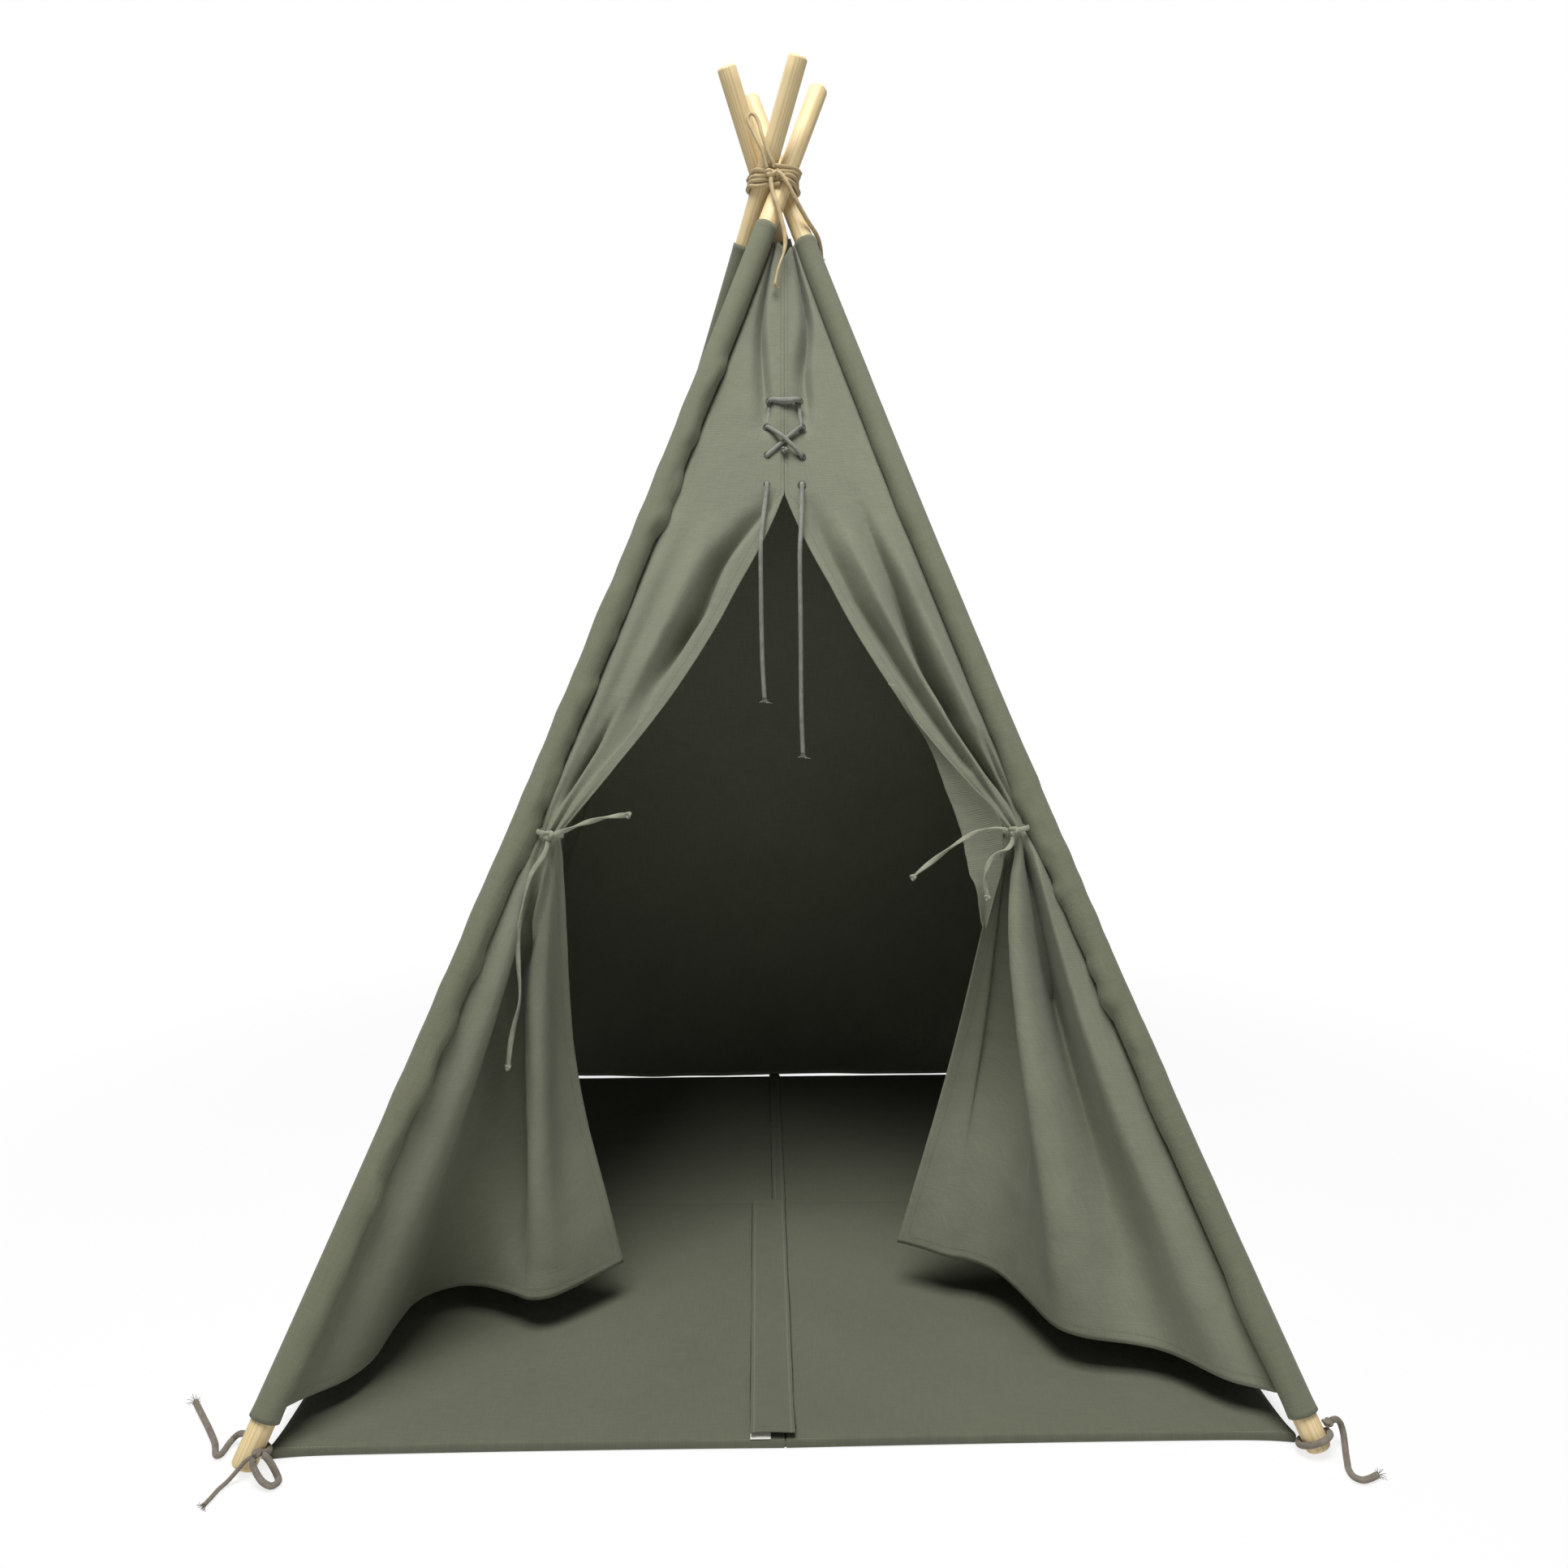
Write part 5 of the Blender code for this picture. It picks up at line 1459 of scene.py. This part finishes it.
@dataclass
class DoorSkirts:
    """The cloth that hangs free under each tie, in folds that open towards the hem."""

    cover: FrontCover
    finishes: Finishes
    turn: float = radians(60)
    seam_power: int = 3
    columns: int = 150
    rows: int = 110
    fold_strength: float = 2.3
    billows: Bumps = Bumps(0.0025, 0.12)
    creases: Bumps = Bumps(0.0008, 0.035)
    hem_start: float = 0.045
    corner_heights: dict[Side, float] = field(
        default_factory=lambda: {Side.LEFT: 0.062, Side.RIGHT: 0.075})
    hem_shares: dict[Side, Rows] = field(default_factory=lambda: {
        Side.LEFT: ((-0.865, -0.815), (-0.822, -0.683), (-0.800, -0.598), (-0.765, -0.556),
                    (-0.712, -0.538), (-0.660, -0.548), (-0.608, -0.580), (-0.560, -0.608),
                    (-0.510, -0.600), (-0.462, -0.570), (-0.410, -0.525), (-0.356, -0.474)),
        Side.RIGHT: ((0.890, -0.915), (0.835, -0.872), (0.770, -0.826), (0.700, -0.800),
                     (0.615, -0.770), (0.560, -0.728), (0.532, -0.668), (0.506, -0.610),
                     (0.472, -0.556), (0.425, -0.516), (0.372, -0.500), (0.320, -0.474),
                     (0.267, -0.448))})
    folds: dict[Side, tuple[Fold, ...]] = field(default_factory=lambda: SKIRT_FOLDS)

    def seam(self, side: Side, down: float) -> Vector:
        """Where the cloth meets its sleeve, turning inwards round the pole towards the floor."""
        cover, corner = self.cover, side.corner
        top = cover.tie_height - SEAM_GAP
        height = top + (self.hem_start - cover.tie_height) * down
        if down == 0:
            return cover.taut(side, 0.0, height)
        turn = self.turn * down
        level = Vector((-side.value * cos(turn), sin(turn), 0.0))
        tilt = level.dot(cover.axes.way(corner, cover.axes.share_at(corner, height)))
        relief = clamp(1 - abs(height - cover.tie_height) / cover.relief_height)
        reach = cover.sleeves.radius(corner, height) + cover.seam_gap + cover.cloth / 4
        reach += cover.relief * relief
        return cover.axes.at(corner, height) + level * reach / sqrt(1 - tilt * tilt)

    def hem(self, side: Side) -> list[Vector]:
        """The hem's points, from the sleeve to the free corner."""
        half, shares = self.cover.axes.half_base, self.hem_shares[side]
        points = [self.seam(side, 1.0)]
        for number, (east, north) in enumerate(shares, 1):
            lift = (self.corner_heights[side] - self.hem_start) * number / len(shares)
            points.append(Vector((east * half, north * half, self.hem_start + lift)))
        return smooth_route(points, 0.0016)

    def build(self) -> None:
        """Make both skirts."""
        for side in Side:
            self.build_skirt(side)

    def build_skirt(self, side: Side) -> None:
        """Make one skirt."""
        cover, hem = self.cover, self.hem(side)
        top = cover.tie_height - SEAM_GAP
        first = cover.taut(side, 0.0, top)

        def base(across: float, down: float) -> Vector:
            spot = clamp(across) * (len(hem) - 1)
            number = min(int(spot), len(hem) - 2)
            low = hem[number].lerp(hem[number + 1], spot - number)
            point = cover.taut(side, across, top).lerp(low, down)
            straight = first.lerp(hem[0], down)
            return point + (self.seam(side, down) - straight) * (1 - across) ** self.seam_power

        def spread(across: float) -> float:
            return 0.5 * across + 0.5 * across * across

        def place(across: float, up: float) -> Vector:
            across, down = spread(across), 1 - up
            point = base(across, down)
            step = 0.012
            level = base(min(1.0, across + step), down) - base(max(0.0, across - step), down)
            drop = base(across, min(1.0, down + step)) - base(across, max(0.0, down - step))
            facing = level.cross(drop).normalized()
            facing *= 1 if facing.dot(self.way_out(side, across)) > 0 else -1
            push = self.fold_strength * sum(fold.push(across, down) for fold in self.folds[side])
            stretch = Vector((across * 0.9, 0.0, point.z * 0.5))
            push += self.billows.at(stretch, 21.0 + side.value) * ease(down * 4)
            push += self.creases.at(point, 31.0 + side.value) * ease(down * 4)
            push *= (1 - (1 - across) ** 12) * ease(down / 0.1)
            wide = across * (0.035 + 0.5 * down)
            push -= cover.groove * exp(-(wide / 0.005) ** 2)
            gather = cover.gathered(across, cover.tie_height - down * 0.5)
            return point + facing * push + cover.out * gather

        hem_length = length_of(hem)

        def flat(across: float, up: float) -> Spot:
            across, down = spread(across), 1 - up
            width = 0.07 + (hem_length - 0.05) * down
            side_gap = (1 - across) * (0.021 + (hem_length - 0.021) * down)
            return across * width, up * 0.56, min(up * 0.56, side_gap)

        bm = surface(self.columns, self.rows, place, flat)
        area = sum(face.calc_area() for face in bm.faces)
        name = f"door_skirt_{side.label}"
        skirt = piece_from(bm, f"{name}_cloth", self.finishes.canvas)
        solid_cloth(skirt, cover.cloth)
        dress(skirt, f"{side.label}_skirt", "canvas", name)
        corner = side.corner
        run = cover.axes.way(corner, 0.3)
        draw_in(skirt, cover.axes.at(corner, 0.4))

    def way_out(self, side: Side, across: float) -> Vector:
        """Roughly the way out of the tent at a place across a skirt."""
        return Vector((-0.55 * side.value * (1 - across), -1.0, 0.1))


@dataclass
class TieBacks:
    """The tape round each gather, its knot, and its two loose ends."""

    cover: FrontCover
    finishes: Finishes
    tape: Section = Section(0.006, flatness=0.5, turns=1.2, around=16)
    band: Section = Section(0.0062, flatness=0.45, around=16)
    ease: float = 0.0016
    band_size: float = 0.0032
    depth: float = 0.009

    def build(self) -> None:
        """Make both tie-backs."""
        tails = {Side.LEFT: (TIE_TAIL_LEFT_UPPER, TIE_TAIL_LEFT_LOWER),
                 Side.RIGHT: (TIE_TAIL_RIGHT_UPPER, TIE_TAIL_RIGHT_LOWER)}
        for side in Side:
            cover, body = self.cover, f"{side.corner.label}_pole"
            start = cover.taut(side, 0.0, cover.tie_height)
            end = cover.taut(side, 1.0, cover.tie_height)
            level = (end - start).normalized()
            front = Vector((0, 0, 1)).cross(level) * side.value
            half = (end - start).length / 2 + self.ease + self.band_size / 2
            ring = []
            for angle in round_turn(72):
                tilt = Vector((0.0, 0.0, -0.0028 * cos(angle)))
                ring.append((start + end) / 2 + level * half * cos(angle)
                            + front * self.depth * sin(angle) + tilt)
            band = piece_from(swept(ring, self.band, closed=True, side=Vector((0, 0, 1))),
                              f"tie_band_{side.label}_tape", self.finishes.tape)
            dress(band, body, "tape", f"tie_band_{side.label}")
            centre = tie_knot(f"tie_knot_{side.label}", "tape", 0.0046, self.finishes.tape, body,
                              "tape")
            for offsets, label in zip(tails[side], ("upper", "lower")):
                tail = FreeCord(f"tie_tail_{side.label}_{label}", body, "tape", offsets, centre,
                                self.tape, "knot", "hanging", end_knot=0.0078)
                tail.build(self.finishes.tape)


@dataclass
class Lashing:
    """The cord wound round the crossing, with its knot, a bight and two loose ends."""

    axes: PoleAxes
    finishes: Finishes
    cord: float = 0.0056
    gap: float = 0.0003
    turns: int = 4
    steps: int = 120
    bight: float = 0.0047

    @property
    def section(self) -> Section:
        """Smooth, close-braided cotton cord."""
        return Section(self.cord, strands=8, lay=0.022, depth=0.07, braided=True, around=20)

    def winding_point(self, angle: float, height: float) -> Vector:
        """A point of the winding's middle: outside all four poles, at one height."""
        normal = Vector((cos(angle), sin(angle), 0.0))
        best, found, slope = -inf, Vector(), 1.0
        for corner in Corner:
            share = self.axes.share_at(corner, height)
            centre, up = self.axes.at_share(corner, share), self.axes.way(corner, share)
            flat = Vector((up.x, up.y, 0.0)).normalized()
            cross = Vector((-flat.y, flat.x, 0.0))
            long, short = self.axes.diameter / 2 / up.z, self.axes.diameter / 2
            along, beside = normal.dot(flat), normal.dot(cross)
            support = sqrt((long * along) ** 2 + (short * beside) ** 2)
            reach = Vector((centre.x, centre.y, 0.0)).dot(normal) + support
            if reach > best:
                best, slope = reach, up.z
                found = centre + (flat * long * long * along
                                  + cross * short * short * beside) / support
        return found + normal * (self.cord / 2 + 0.0006) / slope

    def build(self) -> None:
        """Make the winding, the knot and the free cords."""
        pitch, points = self.cord + self.gap, []
        for step in range(self.turns * self.steps + 1):
            angle = -pi / 2 + 2 * pi * step / self.steps
            height = self.axes.crossing + pitch * (self.turns / 2 - step / self.steps)
            height += 0.0009 * sin(2.3 * angle) + 0.0005 * sin(5.1 * angle)
            points.append(self.winding_point(angle, height))
        winding = swept(even_points(points, 0.0016), self.section)
        dress(piece_from(winding, "lashing_winding_cord", self.finishes.lashing), "crown",
              "lashing_cord", "lashing_winding")
        tie_knot("lashing_knot", "cord", 0.0047, self.finishes.lashing, "crown", "lashing_cord")
        start = Vector((0.0, 0.0, self.axes.crossing))
        thin = Section(self.bight, strands=8, lay=0.02, depth=0.07, braided=True, around=18)
        cords = (("lashing_tail_front", LASHING_TAIL_FRONT, self.section, "bare"),
                 ("lashing_tail_side", LASHING_TAIL_SIDE, self.section, "bare"),
                 ("lashing_bight", LASHING_BIGHT, thin, "object"))
        for name, offsets, section, far_end in cords:
            free = FreeCord(name, "crown", "lashing_cord", offsets, start, section, far_end,
                            "hanging", fray=0.004 if far_end == "bare" else 0.0,
                            taper=0.4 if name == "lashing_tail_front" else 0.0)
            free.build(self.finishes.lashing)


@dataclass
class FloorMat:
    """The quilted floor mat: four padded quarters, a strip over their join, a blank label."""

    finishes: Finishes
    half: float = 0.519
    join_gap: float = 0.0006
    thickness: float = 0.0145
    edge_height: float = 0.0115
    side_height: float = 0.006
    bulge: float = 0.0012
    crown_reach: float = 0.045
    corner_pull: float = 0.0045
    side_draw: float = 0.0015
    cells: int = 84
    billows: Bumps = Bumps(0.0016, 0.16)
    dents: Bumps = Bumps(0.001, 0.06)
    seam_inset: float = 0.0014
    seam_depth: float = 0.0014
    seam_width: float = 0.0022
    crease_at: float = 0.208
    crease_depth: float = 0.0011
    crease_width: float = 0.006
    # How the strips' painted shadow lines wander.
    shadow_line_waves: Bumps = Bumps(0.0014, 0.09)
    strip_thickness: float = 0.002
    strip_seat: float = 0.0006
    strip_lift: float = 0.005
    strip_lift_reach: float = 0.06
    strip_puckers: dict[int, float] = field(default_factory=lambda: {-1: 0.0042, 1: 0.0016})
    bodies: dict[int, str] = field(default_factory=lambda: {-1: "mat_front", 1: "mat_rear"})
    join_width: float = 0.004
    join_length: float = 0.517
    join_depth: float = 0.006
    front_strip: tuple[float, float] = (-0.036, 0.010)
    rear_strip: tuple[float, float] = (-0.007, 0.011)

    def top(self, east: float, north: float) -> float:
        """The height of the mat's top without its puckers."""
        inner = self.join_gap / 2
        gaps = (abs(east) - inner, self.half - abs(east), abs(north) - inner,
                self.half - abs(north))
        rise = 1.0
        for gap in gaps:
            rise *= sin(pi / 2 * clamp(gap / self.crown_reach))
        return self.edge_height + (self.thickness - self.edge_height) * rise

    def build(self) -> None:
        """Make the pads, the strips and the label."""
        for corner in Corner:
            self.build_pad(corner)
        self.build_joins()
        self.build_strip("mat_strip_front", -1, self.front_strip)
        self.build_strip("mat_strip_rear", 1, self.rear_strip)
        self.build_label()

    def pad_place(self, unit: Vector, corner: Corner) -> Vector:
        """Where a point of the unit square lies on a pad's top."""
        size = self.half - self.join_gap / 2
        middle = (self.half + self.join_gap / 2) / 2
        across = sin(pi * unit.x) * corner.value[0]
        along = sin(pi * unit.y) * corner.value[1]
        half = size / 2 - self.bulge
        pull = self.corner_pull * clamp(across) ** 12 * clamp(along) ** 12
        draw_x = self.side_draw * (1 - along ** 2) * clamp(across) ** 3
        draw_y = self.side_draw * (1 - across ** 2) * clamp(along) ** 3
        east = corner.value[0] * (middle + across * half + pull - draw_x)
        north = corner.value[1] * (middle + along * half + pull - draw_y)
        height = self.top(east, north)
        gaps = (abs(east), self.half - abs(east), abs(north), self.half - abs(north))
        near = min(gaps)
        outer = min(self.half - abs(east), self.half - abs(north))
        spot = Vector((east, north, 0.0))
        seed = 40.0 + 3 * corner.value[0] + 5 * corner.value[1]
        inner = ease(near / 0.03)
        height += inner * (self.billows.at(spot, seed) + self.dents.at(spot, seed))
        height -= self.seam_depth * exp(-((outer - self.seam_inset) / self.seam_width) ** 2)
        tucks = ripple(spot, 0.016, seed + 2) * exp(-((outer - 0.014) / 0.009) ** 2)
        height += 0.0005 * tucks
        height -= (self.crease_depth * exp(-((north - self.crease_at) / self.crease_width) ** 2)
                   * inner)
        return Vector((east, north, height))

    def build_pad(self, corner: Corner) -> None:
        """Make one quarter: a crowned top, a rounded side, and a flat bottom."""
        middle = (self.half + self.join_gap / 2) / 2
        centre = Vector((corner.value[0] * middle, corner.value[1] * middle, 0.0))
        size = self.half - self.join_gap / 2

        def place(across: float, along: float) -> Vector:
            return self.pad_place(Vector((across - 0.5, along - 0.5, 0.0)), corner)

        def flat(across: float, along: float) -> Spot:
            point = place(across, along)
            outer = min(self.half - abs(point.x), self.half - abs(point.y))
            return point.x, point.y, outer - self.seam_inset + 0.004

        bm = surface(self.cells, self.cells, place, flat)
        edge = bm.verts.layers.float["edge"]
        rings = ((0.0006, 0.0104), (0.001, 0.0088), (self.bulge, self.side_height),
                 (0.0009, 0.003), (0.0002, 0.0009), (-0.0012, 0.0))
        reached = 0.0
        for out, height in rings:
            rim = [side for side in bm.edges if side.is_boundary]
            grown = bmesh.ops.extrude_edge_only(bm, edges=rim)["geom"]
            for vert in (item for item in grown if isinstance(item, bmesh.types.BMVert)):
                vert.co.x += (vert.co.x - centre.x) * (out - reached) / (size / 2)
                vert.co.y += (vert.co.y - centre.y) * (out - reached) / (size / 2)
                vert.co.z = height
                vert[edge] = 1.0
            reached = out
        bmesh.ops.contextual_create(bm, geom=[side for side in bm.edges if side.is_boundary])
        name = f"mat_pad_{corner.label}"
        pad = piece_from(bm, f"{name}_quilt", self.finishes.mat_cotton)
        dress(pad, self.bodies[corner.value[1]], "mat_cotton", name)
        draw_in(pad)

    def build_joins(self) -> None:
        """Sew the pads of each half together with a narrow tape between them."""
        width, length = self.join_width, self.join_length
        for side, body in self.bodies.items():
            def place(across: float, along: float) -> Vector:
                return Vector(((across - 0.5) * width, side * (0.001 + length * along), 0.005))

            bm = surface(4, 60, place, lambda across, along: (across * width, along * length, 0.05))
            join = piece_from(bm, f"{body}_join_tape", self.finishes.mat_cotton)
            solid_cloth(join, self.join_depth)
            dress(join, body, "mat_cotton")
            draw_in(join)

    def loose_lift(self, side: int, reach: float) -> float:
        """How far the front strip's loose end rises, at a distance from the mat's middle."""
        near = clamp(1 - (self.half - reach) / self.strip_lift_reach)
        return self.strip_lift * near ** 2 if side < 0 else 0.0

    def build_edge_shadow_lines(self, name: str, side: int, reach: tuple[float, float]) -> None:
        """Lay a near-black cord along both edges of a strip: a sewing thread drawn dark as a
        painted shadow for the gap at each edge.
        """
        bm = bmesh.new()
        for east in reach:
            route = []
            for step in range(61):
                north = side * (0.004 + (self.half - 0.012) * step / 60)
                lift = self.loose_lift(side, abs(north))
                wave = self.shadow_line_waves.at(Vector((east, north, 0.0)), 61.0)
                height = self.top(east, north) + self.strip_seat + self.strip_thickness + lift
                route.append(Vector((east + wave, north, height + 0.0004)))
            add_mesh(bm, swept(smooth_route(route, 0.004), Section(0.0017, around=8)))
        # These near-black cords are painted shadow along the strip's edges.
        shadow_lines = piece_from(bm, f"{name}_thread", self.finishes.shadow)
        dress(shadow_lines, self.bodies[side], "mat_cotton")
        draw_in(shadow_lines)

    def build_strip(self, name: str, side: int, reach: tuple[float, float]) -> None:
        """Make the strip that covers the join of two pads."""
        left, right = reach
        self.build_edge_shadow_lines(name, side, reach)

        def place(across: float, along: float) -> Vector:
            east = left + (right - left) * across
            share = (1 - cos(pi * along)) / 2
            north = self.join_gap + (self.half - self.join_gap) * share
            wave = self.strip_puckers[side] * (1 - (2 * across - 1) ** 4)
            wave *= abs(ripple(Vector((east * 0.3, north, 0.0)), 0.03, 51.0 + side))
            height = self.top(east, side * north) + self.strip_seat + self.strip_thickness / 2
            height += self.loose_lift(side, north)
            return Vector((east, side * north, height + wave + 0.0012))

        def flat(across: float, along: float) -> Spot:
            width = right - left
            gap = min(across, 1 - across) * width
            return across * width, place(across, along).y, gap

        bm = surface(28, 120, place, flat)
        strip = piece_from(bm, f"{name}_cloth", self.finishes.mat_cotton)
        solid_cloth(strip, self.strip_thickness)
        dress(strip, self.bodies[side], "mat_cotton", name)
        draw_in(strip)

    def build_label(self) -> None:
        """Make the small blank label on the front edge."""
        low, high = (Vector(corner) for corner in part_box("care_label"))
        size = high - low

        def place(across: float, up: float) -> Vector:
            bow = 0.0006 * sin(pi * across) * sin(pi * up)
            return Vector((low.x + size.x * across, low.y + 0.0015 + 0.0095 * up,
                           0.0115 + 0.0035 * up + bow))

        def flat(across: float, up: float) -> Spot:
            return across * size.x, up * size.z, min(up, 1 - up) * size.z + 0.01

        bm = surface(24, 12, place, flat)
        label = piece_from(bm, "care_label_blank", self.finishes.label)
        solid_cloth(label, 0.0007)
        dress(label, "mat_front", "label_white", "care_label")
        draw_in(label)


@dataclass
class FootTies:
    """The cords at the front feet: a ring round the right pole, knots, loops and loose ends."""

    axes: PoleAxes
    finishes: Finishes
    cord: Section = Section(0.0065, strands=6, lay=0.02, depth=0.16, braided=True, around=18)
    thin: Section = Section(0.0045, strands=4, lay=0.014, depth=0.16, around=14)
    ring_rise: float = 0.0147

    def build(self) -> None:
        """Make the ring, the two knots and the four free cords."""
        corner = Corner.FRONT_RIGHT
        share = self.axes.share_at(corner, self.ring_rise)
        centre, up = self.axes.at_share(corner, share), self.axes.way(corner, share)
        across = up.cross(corner.outward).normalized()
        facing = across.cross(up)
        radius = self.axes.diameter / 2 + SEAM_GAP + self.cord.diameter / 2
        ring = []
        for angle in round_turn(72):
            ring.append(centre + (facing * cos(angle) + across * sin(angle)) * radius)
        bm = swept(ring, self.cord, closed=True)
        dress(piece_from(bm, "foot_ring_right_cord", self.finishes.foot_cord),
              "front_right_pole", "foot_cord", "foot_ring_right")
        for side in Side:
            tie_knot(f"foot_knot_{side.label}", "cord", 0.0038, self.finishes.foot_cord,
                     f"{side.corner.label}_pole", "foot_cord")
        half = self.axes.half_base
        left, right = Vector((-half, -half, 0.0)), Vector((half, -half, 0.0))
        cords = (("foot_tie_left", FOOT_TIE_LEFT, left, self.cord, "bare", 0.006),
                 ("foot_tail_left", FOOT_TAIL_LEFT, left, self.thin, "bare", 0.005),
                 ("foot_loop_left", FOOT_LOOP_LEFT, left, self.cord, "object", 0.0),
                 ("foot_tail_right", FOOT_TAIL_RIGHT, right, self.cord, "bare", 0.006))
        for name, offsets, start, section, far_end, fray in cords:
            body = "front_left_pole" if start is left else "front_right_pole"
            FreeCord(name, body, "foot_cord", offsets, start, section, far_end, "loose",
                     fray=fray).build(self.finishes.foot_cord)


@dataclass
class Studio:
    """A plain white studio with a large soft lamp above, a weak one in front, and the camera."""

    place: Vector = field(default_factory=lambda: Vector((-0.02316, -1.65456, 0.81538)))
    yaw: float = 0.02077
    pitch: float = -0.11554
    roll: float = -0.00296
    focal: float = 1475.97
    frame_size: float = 1932.0

    def build(self) -> None:
        """Set up the camera, the world, the lamps and the floor."""
        self.build_camera()
        self.build_world()
        self.build_lamp("key_lamp", Vector((-0.4, -1.7, 5.0)), 2.4, 300.0)
        self.build_lamp("fill_lamp", Vector((2.4, -3.4, 2.2)), 2.4, 7.0)
        self.build_floor()
        bpy.context.scene.view_settings.view_transform = "Standard"

    def build_camera(self) -> None:
        """Stand the camera where the photograph was taken from."""
        ahead = Vector((sin(self.yaw) * cos(self.pitch),
                        cos(self.yaw) * cos(self.pitch), sin(self.pitch)))
        level = Vector((cos(self.yaw), -sin(self.yaw), 0.0))
        over = level.cross(ahead)
        right = level * cos(self.roll) + over * sin(self.roll)
        up = over * cos(self.roll) - level * sin(self.roll)
        data = bpy.data.cameras.new("camera")
        data.sensor_width = 36.0
        data.lens = self.focal * data.sensor_width / self.frame_size
        camera = bpy.data.objects.new("camera", data)
        turn = Matrix((right, up, -ahead)).transposed().to_4x4()
        camera.matrix_world = Matrix.Translation(self.place) @ turn
        bpy.context.scene.collection.objects.link(camera)
        bpy.context.scene.camera = camera

    def build_world(self) -> None:
        """Plain light all round, and white where the camera or a gloss looks past the object."""
        world = bpy.data.worlds.new("studio")
        bpy.context.scene.world = world
        world.use_nodes = True
        tree = world.node_tree
        seen = add_seen(tree)
        soft = add_node(tree, "Background", Color=(1.0, 1.0, 1.0, 1.0), Strength=0.07)
        white = add_node(tree, "Background", Color=(1.0, 1.0, 1.0, 1.0), Strength=1.0)
        mix = add_node(tree, "MixShader", in_0=seen, in_1=soft.outputs[0], in_2=white.outputs[0])
        tree.links.new(mix.outputs[0], tree.nodes["World Output"].inputs["Surface"])

    def build_lamp(self, name: str, place: Vector, size: float, power: float) -> None:
        """Hang a large square lamp that faces the tent."""
        data = bpy.data.lights.new(name, "AREA")
        data.size = size
        data.energy = power
        lamp = bpy.data.objects.new(name, data)
        lamp.location = place
        lamp.rotation_euler = (Vector((0.0, 0.0, 0.6)) - place).to_track_quat("-Z", "Y").to_euler()
        bpy.context.scene.collection.objects.link(lamp)

    def build_floor(self) -> None:
        """A pale floor that keeps the tent's shadow and fades into the white."""
        bm = bmesh.new()
        bmesh.ops.create_grid(bm, x_segments=8, y_segments=8, size=14.0)
        material = bpy.data.materials.new("pale_floor")
        material.use_nodes = True
        tree = material.node_tree
        lit = add_node(tree, "BsdfDiffuse", Color=linear("#F2F2F2"))
        white = add_node(tree, "Emission", Color=(1.0, 1.0, 1.0, 1.0), Strength=1.0)
        places = add_node(tree, "TexCoord")
        reach = add_node(tree, "VectorMath", {"operation": "LENGTH"}, in_0=places.outputs["Object"])
        fade = add_node(tree, "MapRange", {"interpolation_type": "SMOOTHSTEP"},
                        Value=reach.outputs["Value"], From_Min=0.75, From_Max=1.8, To_Min=0.8,
                        To_Max=1.0)
        share = add_node(tree, "Math", {"operation": "MULTIPLY"}, in_0=add_seen(tree),
                         in_1=fade.outputs[0])
        mix = add_node(tree, "MixShader", in_0=share.outputs[0], in_1=lit.outputs[0],
                       in_2=white.outputs[0])
        tree.links.new(mix.outputs[0], tree.nodes["Material Output"].inputs["Surface"])
        floor = piece_from(bm, "studio_floor", material)


def add_seen(tree: Tree) -> Socket:
    """A mask that is 1 for what the camera sees, directly, in a gloss or through glass."""
    rays = add_node(tree, "LightPath")
    gloss = add_node(tree, "Math", {"operation": "MAXIMUM"}, in_0=rays.outputs["Is Camera Ray"],
                     in_1=rays.outputs["Is Glossy Ray"])
    return add_node(tree, "Math", {"operation": "MAXIMUM"}, in_0=gloss.outputs[0],
                    in_1=rays.outputs["Is Transmission Ray"]).outputs[0]


def main() -> None:
    """Build the teepee piece by piece."""
    logging.basicConfig(level=logging.INFO, format="%(relativeCreated)d %(message)s")
    Studio().build()
    finishes = Finishes.made()
    axes = PoleAxes()
    sleeves = SleeveSet(axes, finishes)
    cover = FrontCover(axes, sleeves, finishes)
    Lashing(axes, finishes).build()
    Lacing(cover, finishes).build()
    TieBacks(cover, finishes).build()
    FootTies(axes, finishes).build()
    PoleSet(axes, finishes).build()
    sleeves.build()
    Walls(axes, sleeves, finishes).build()
    cover.build()
    DoorSkirts(cover, finishes).build()
    FloorMat(finishes).build()
    LOG.info("the scene is built")


if __name__ == "__main__":
    main()
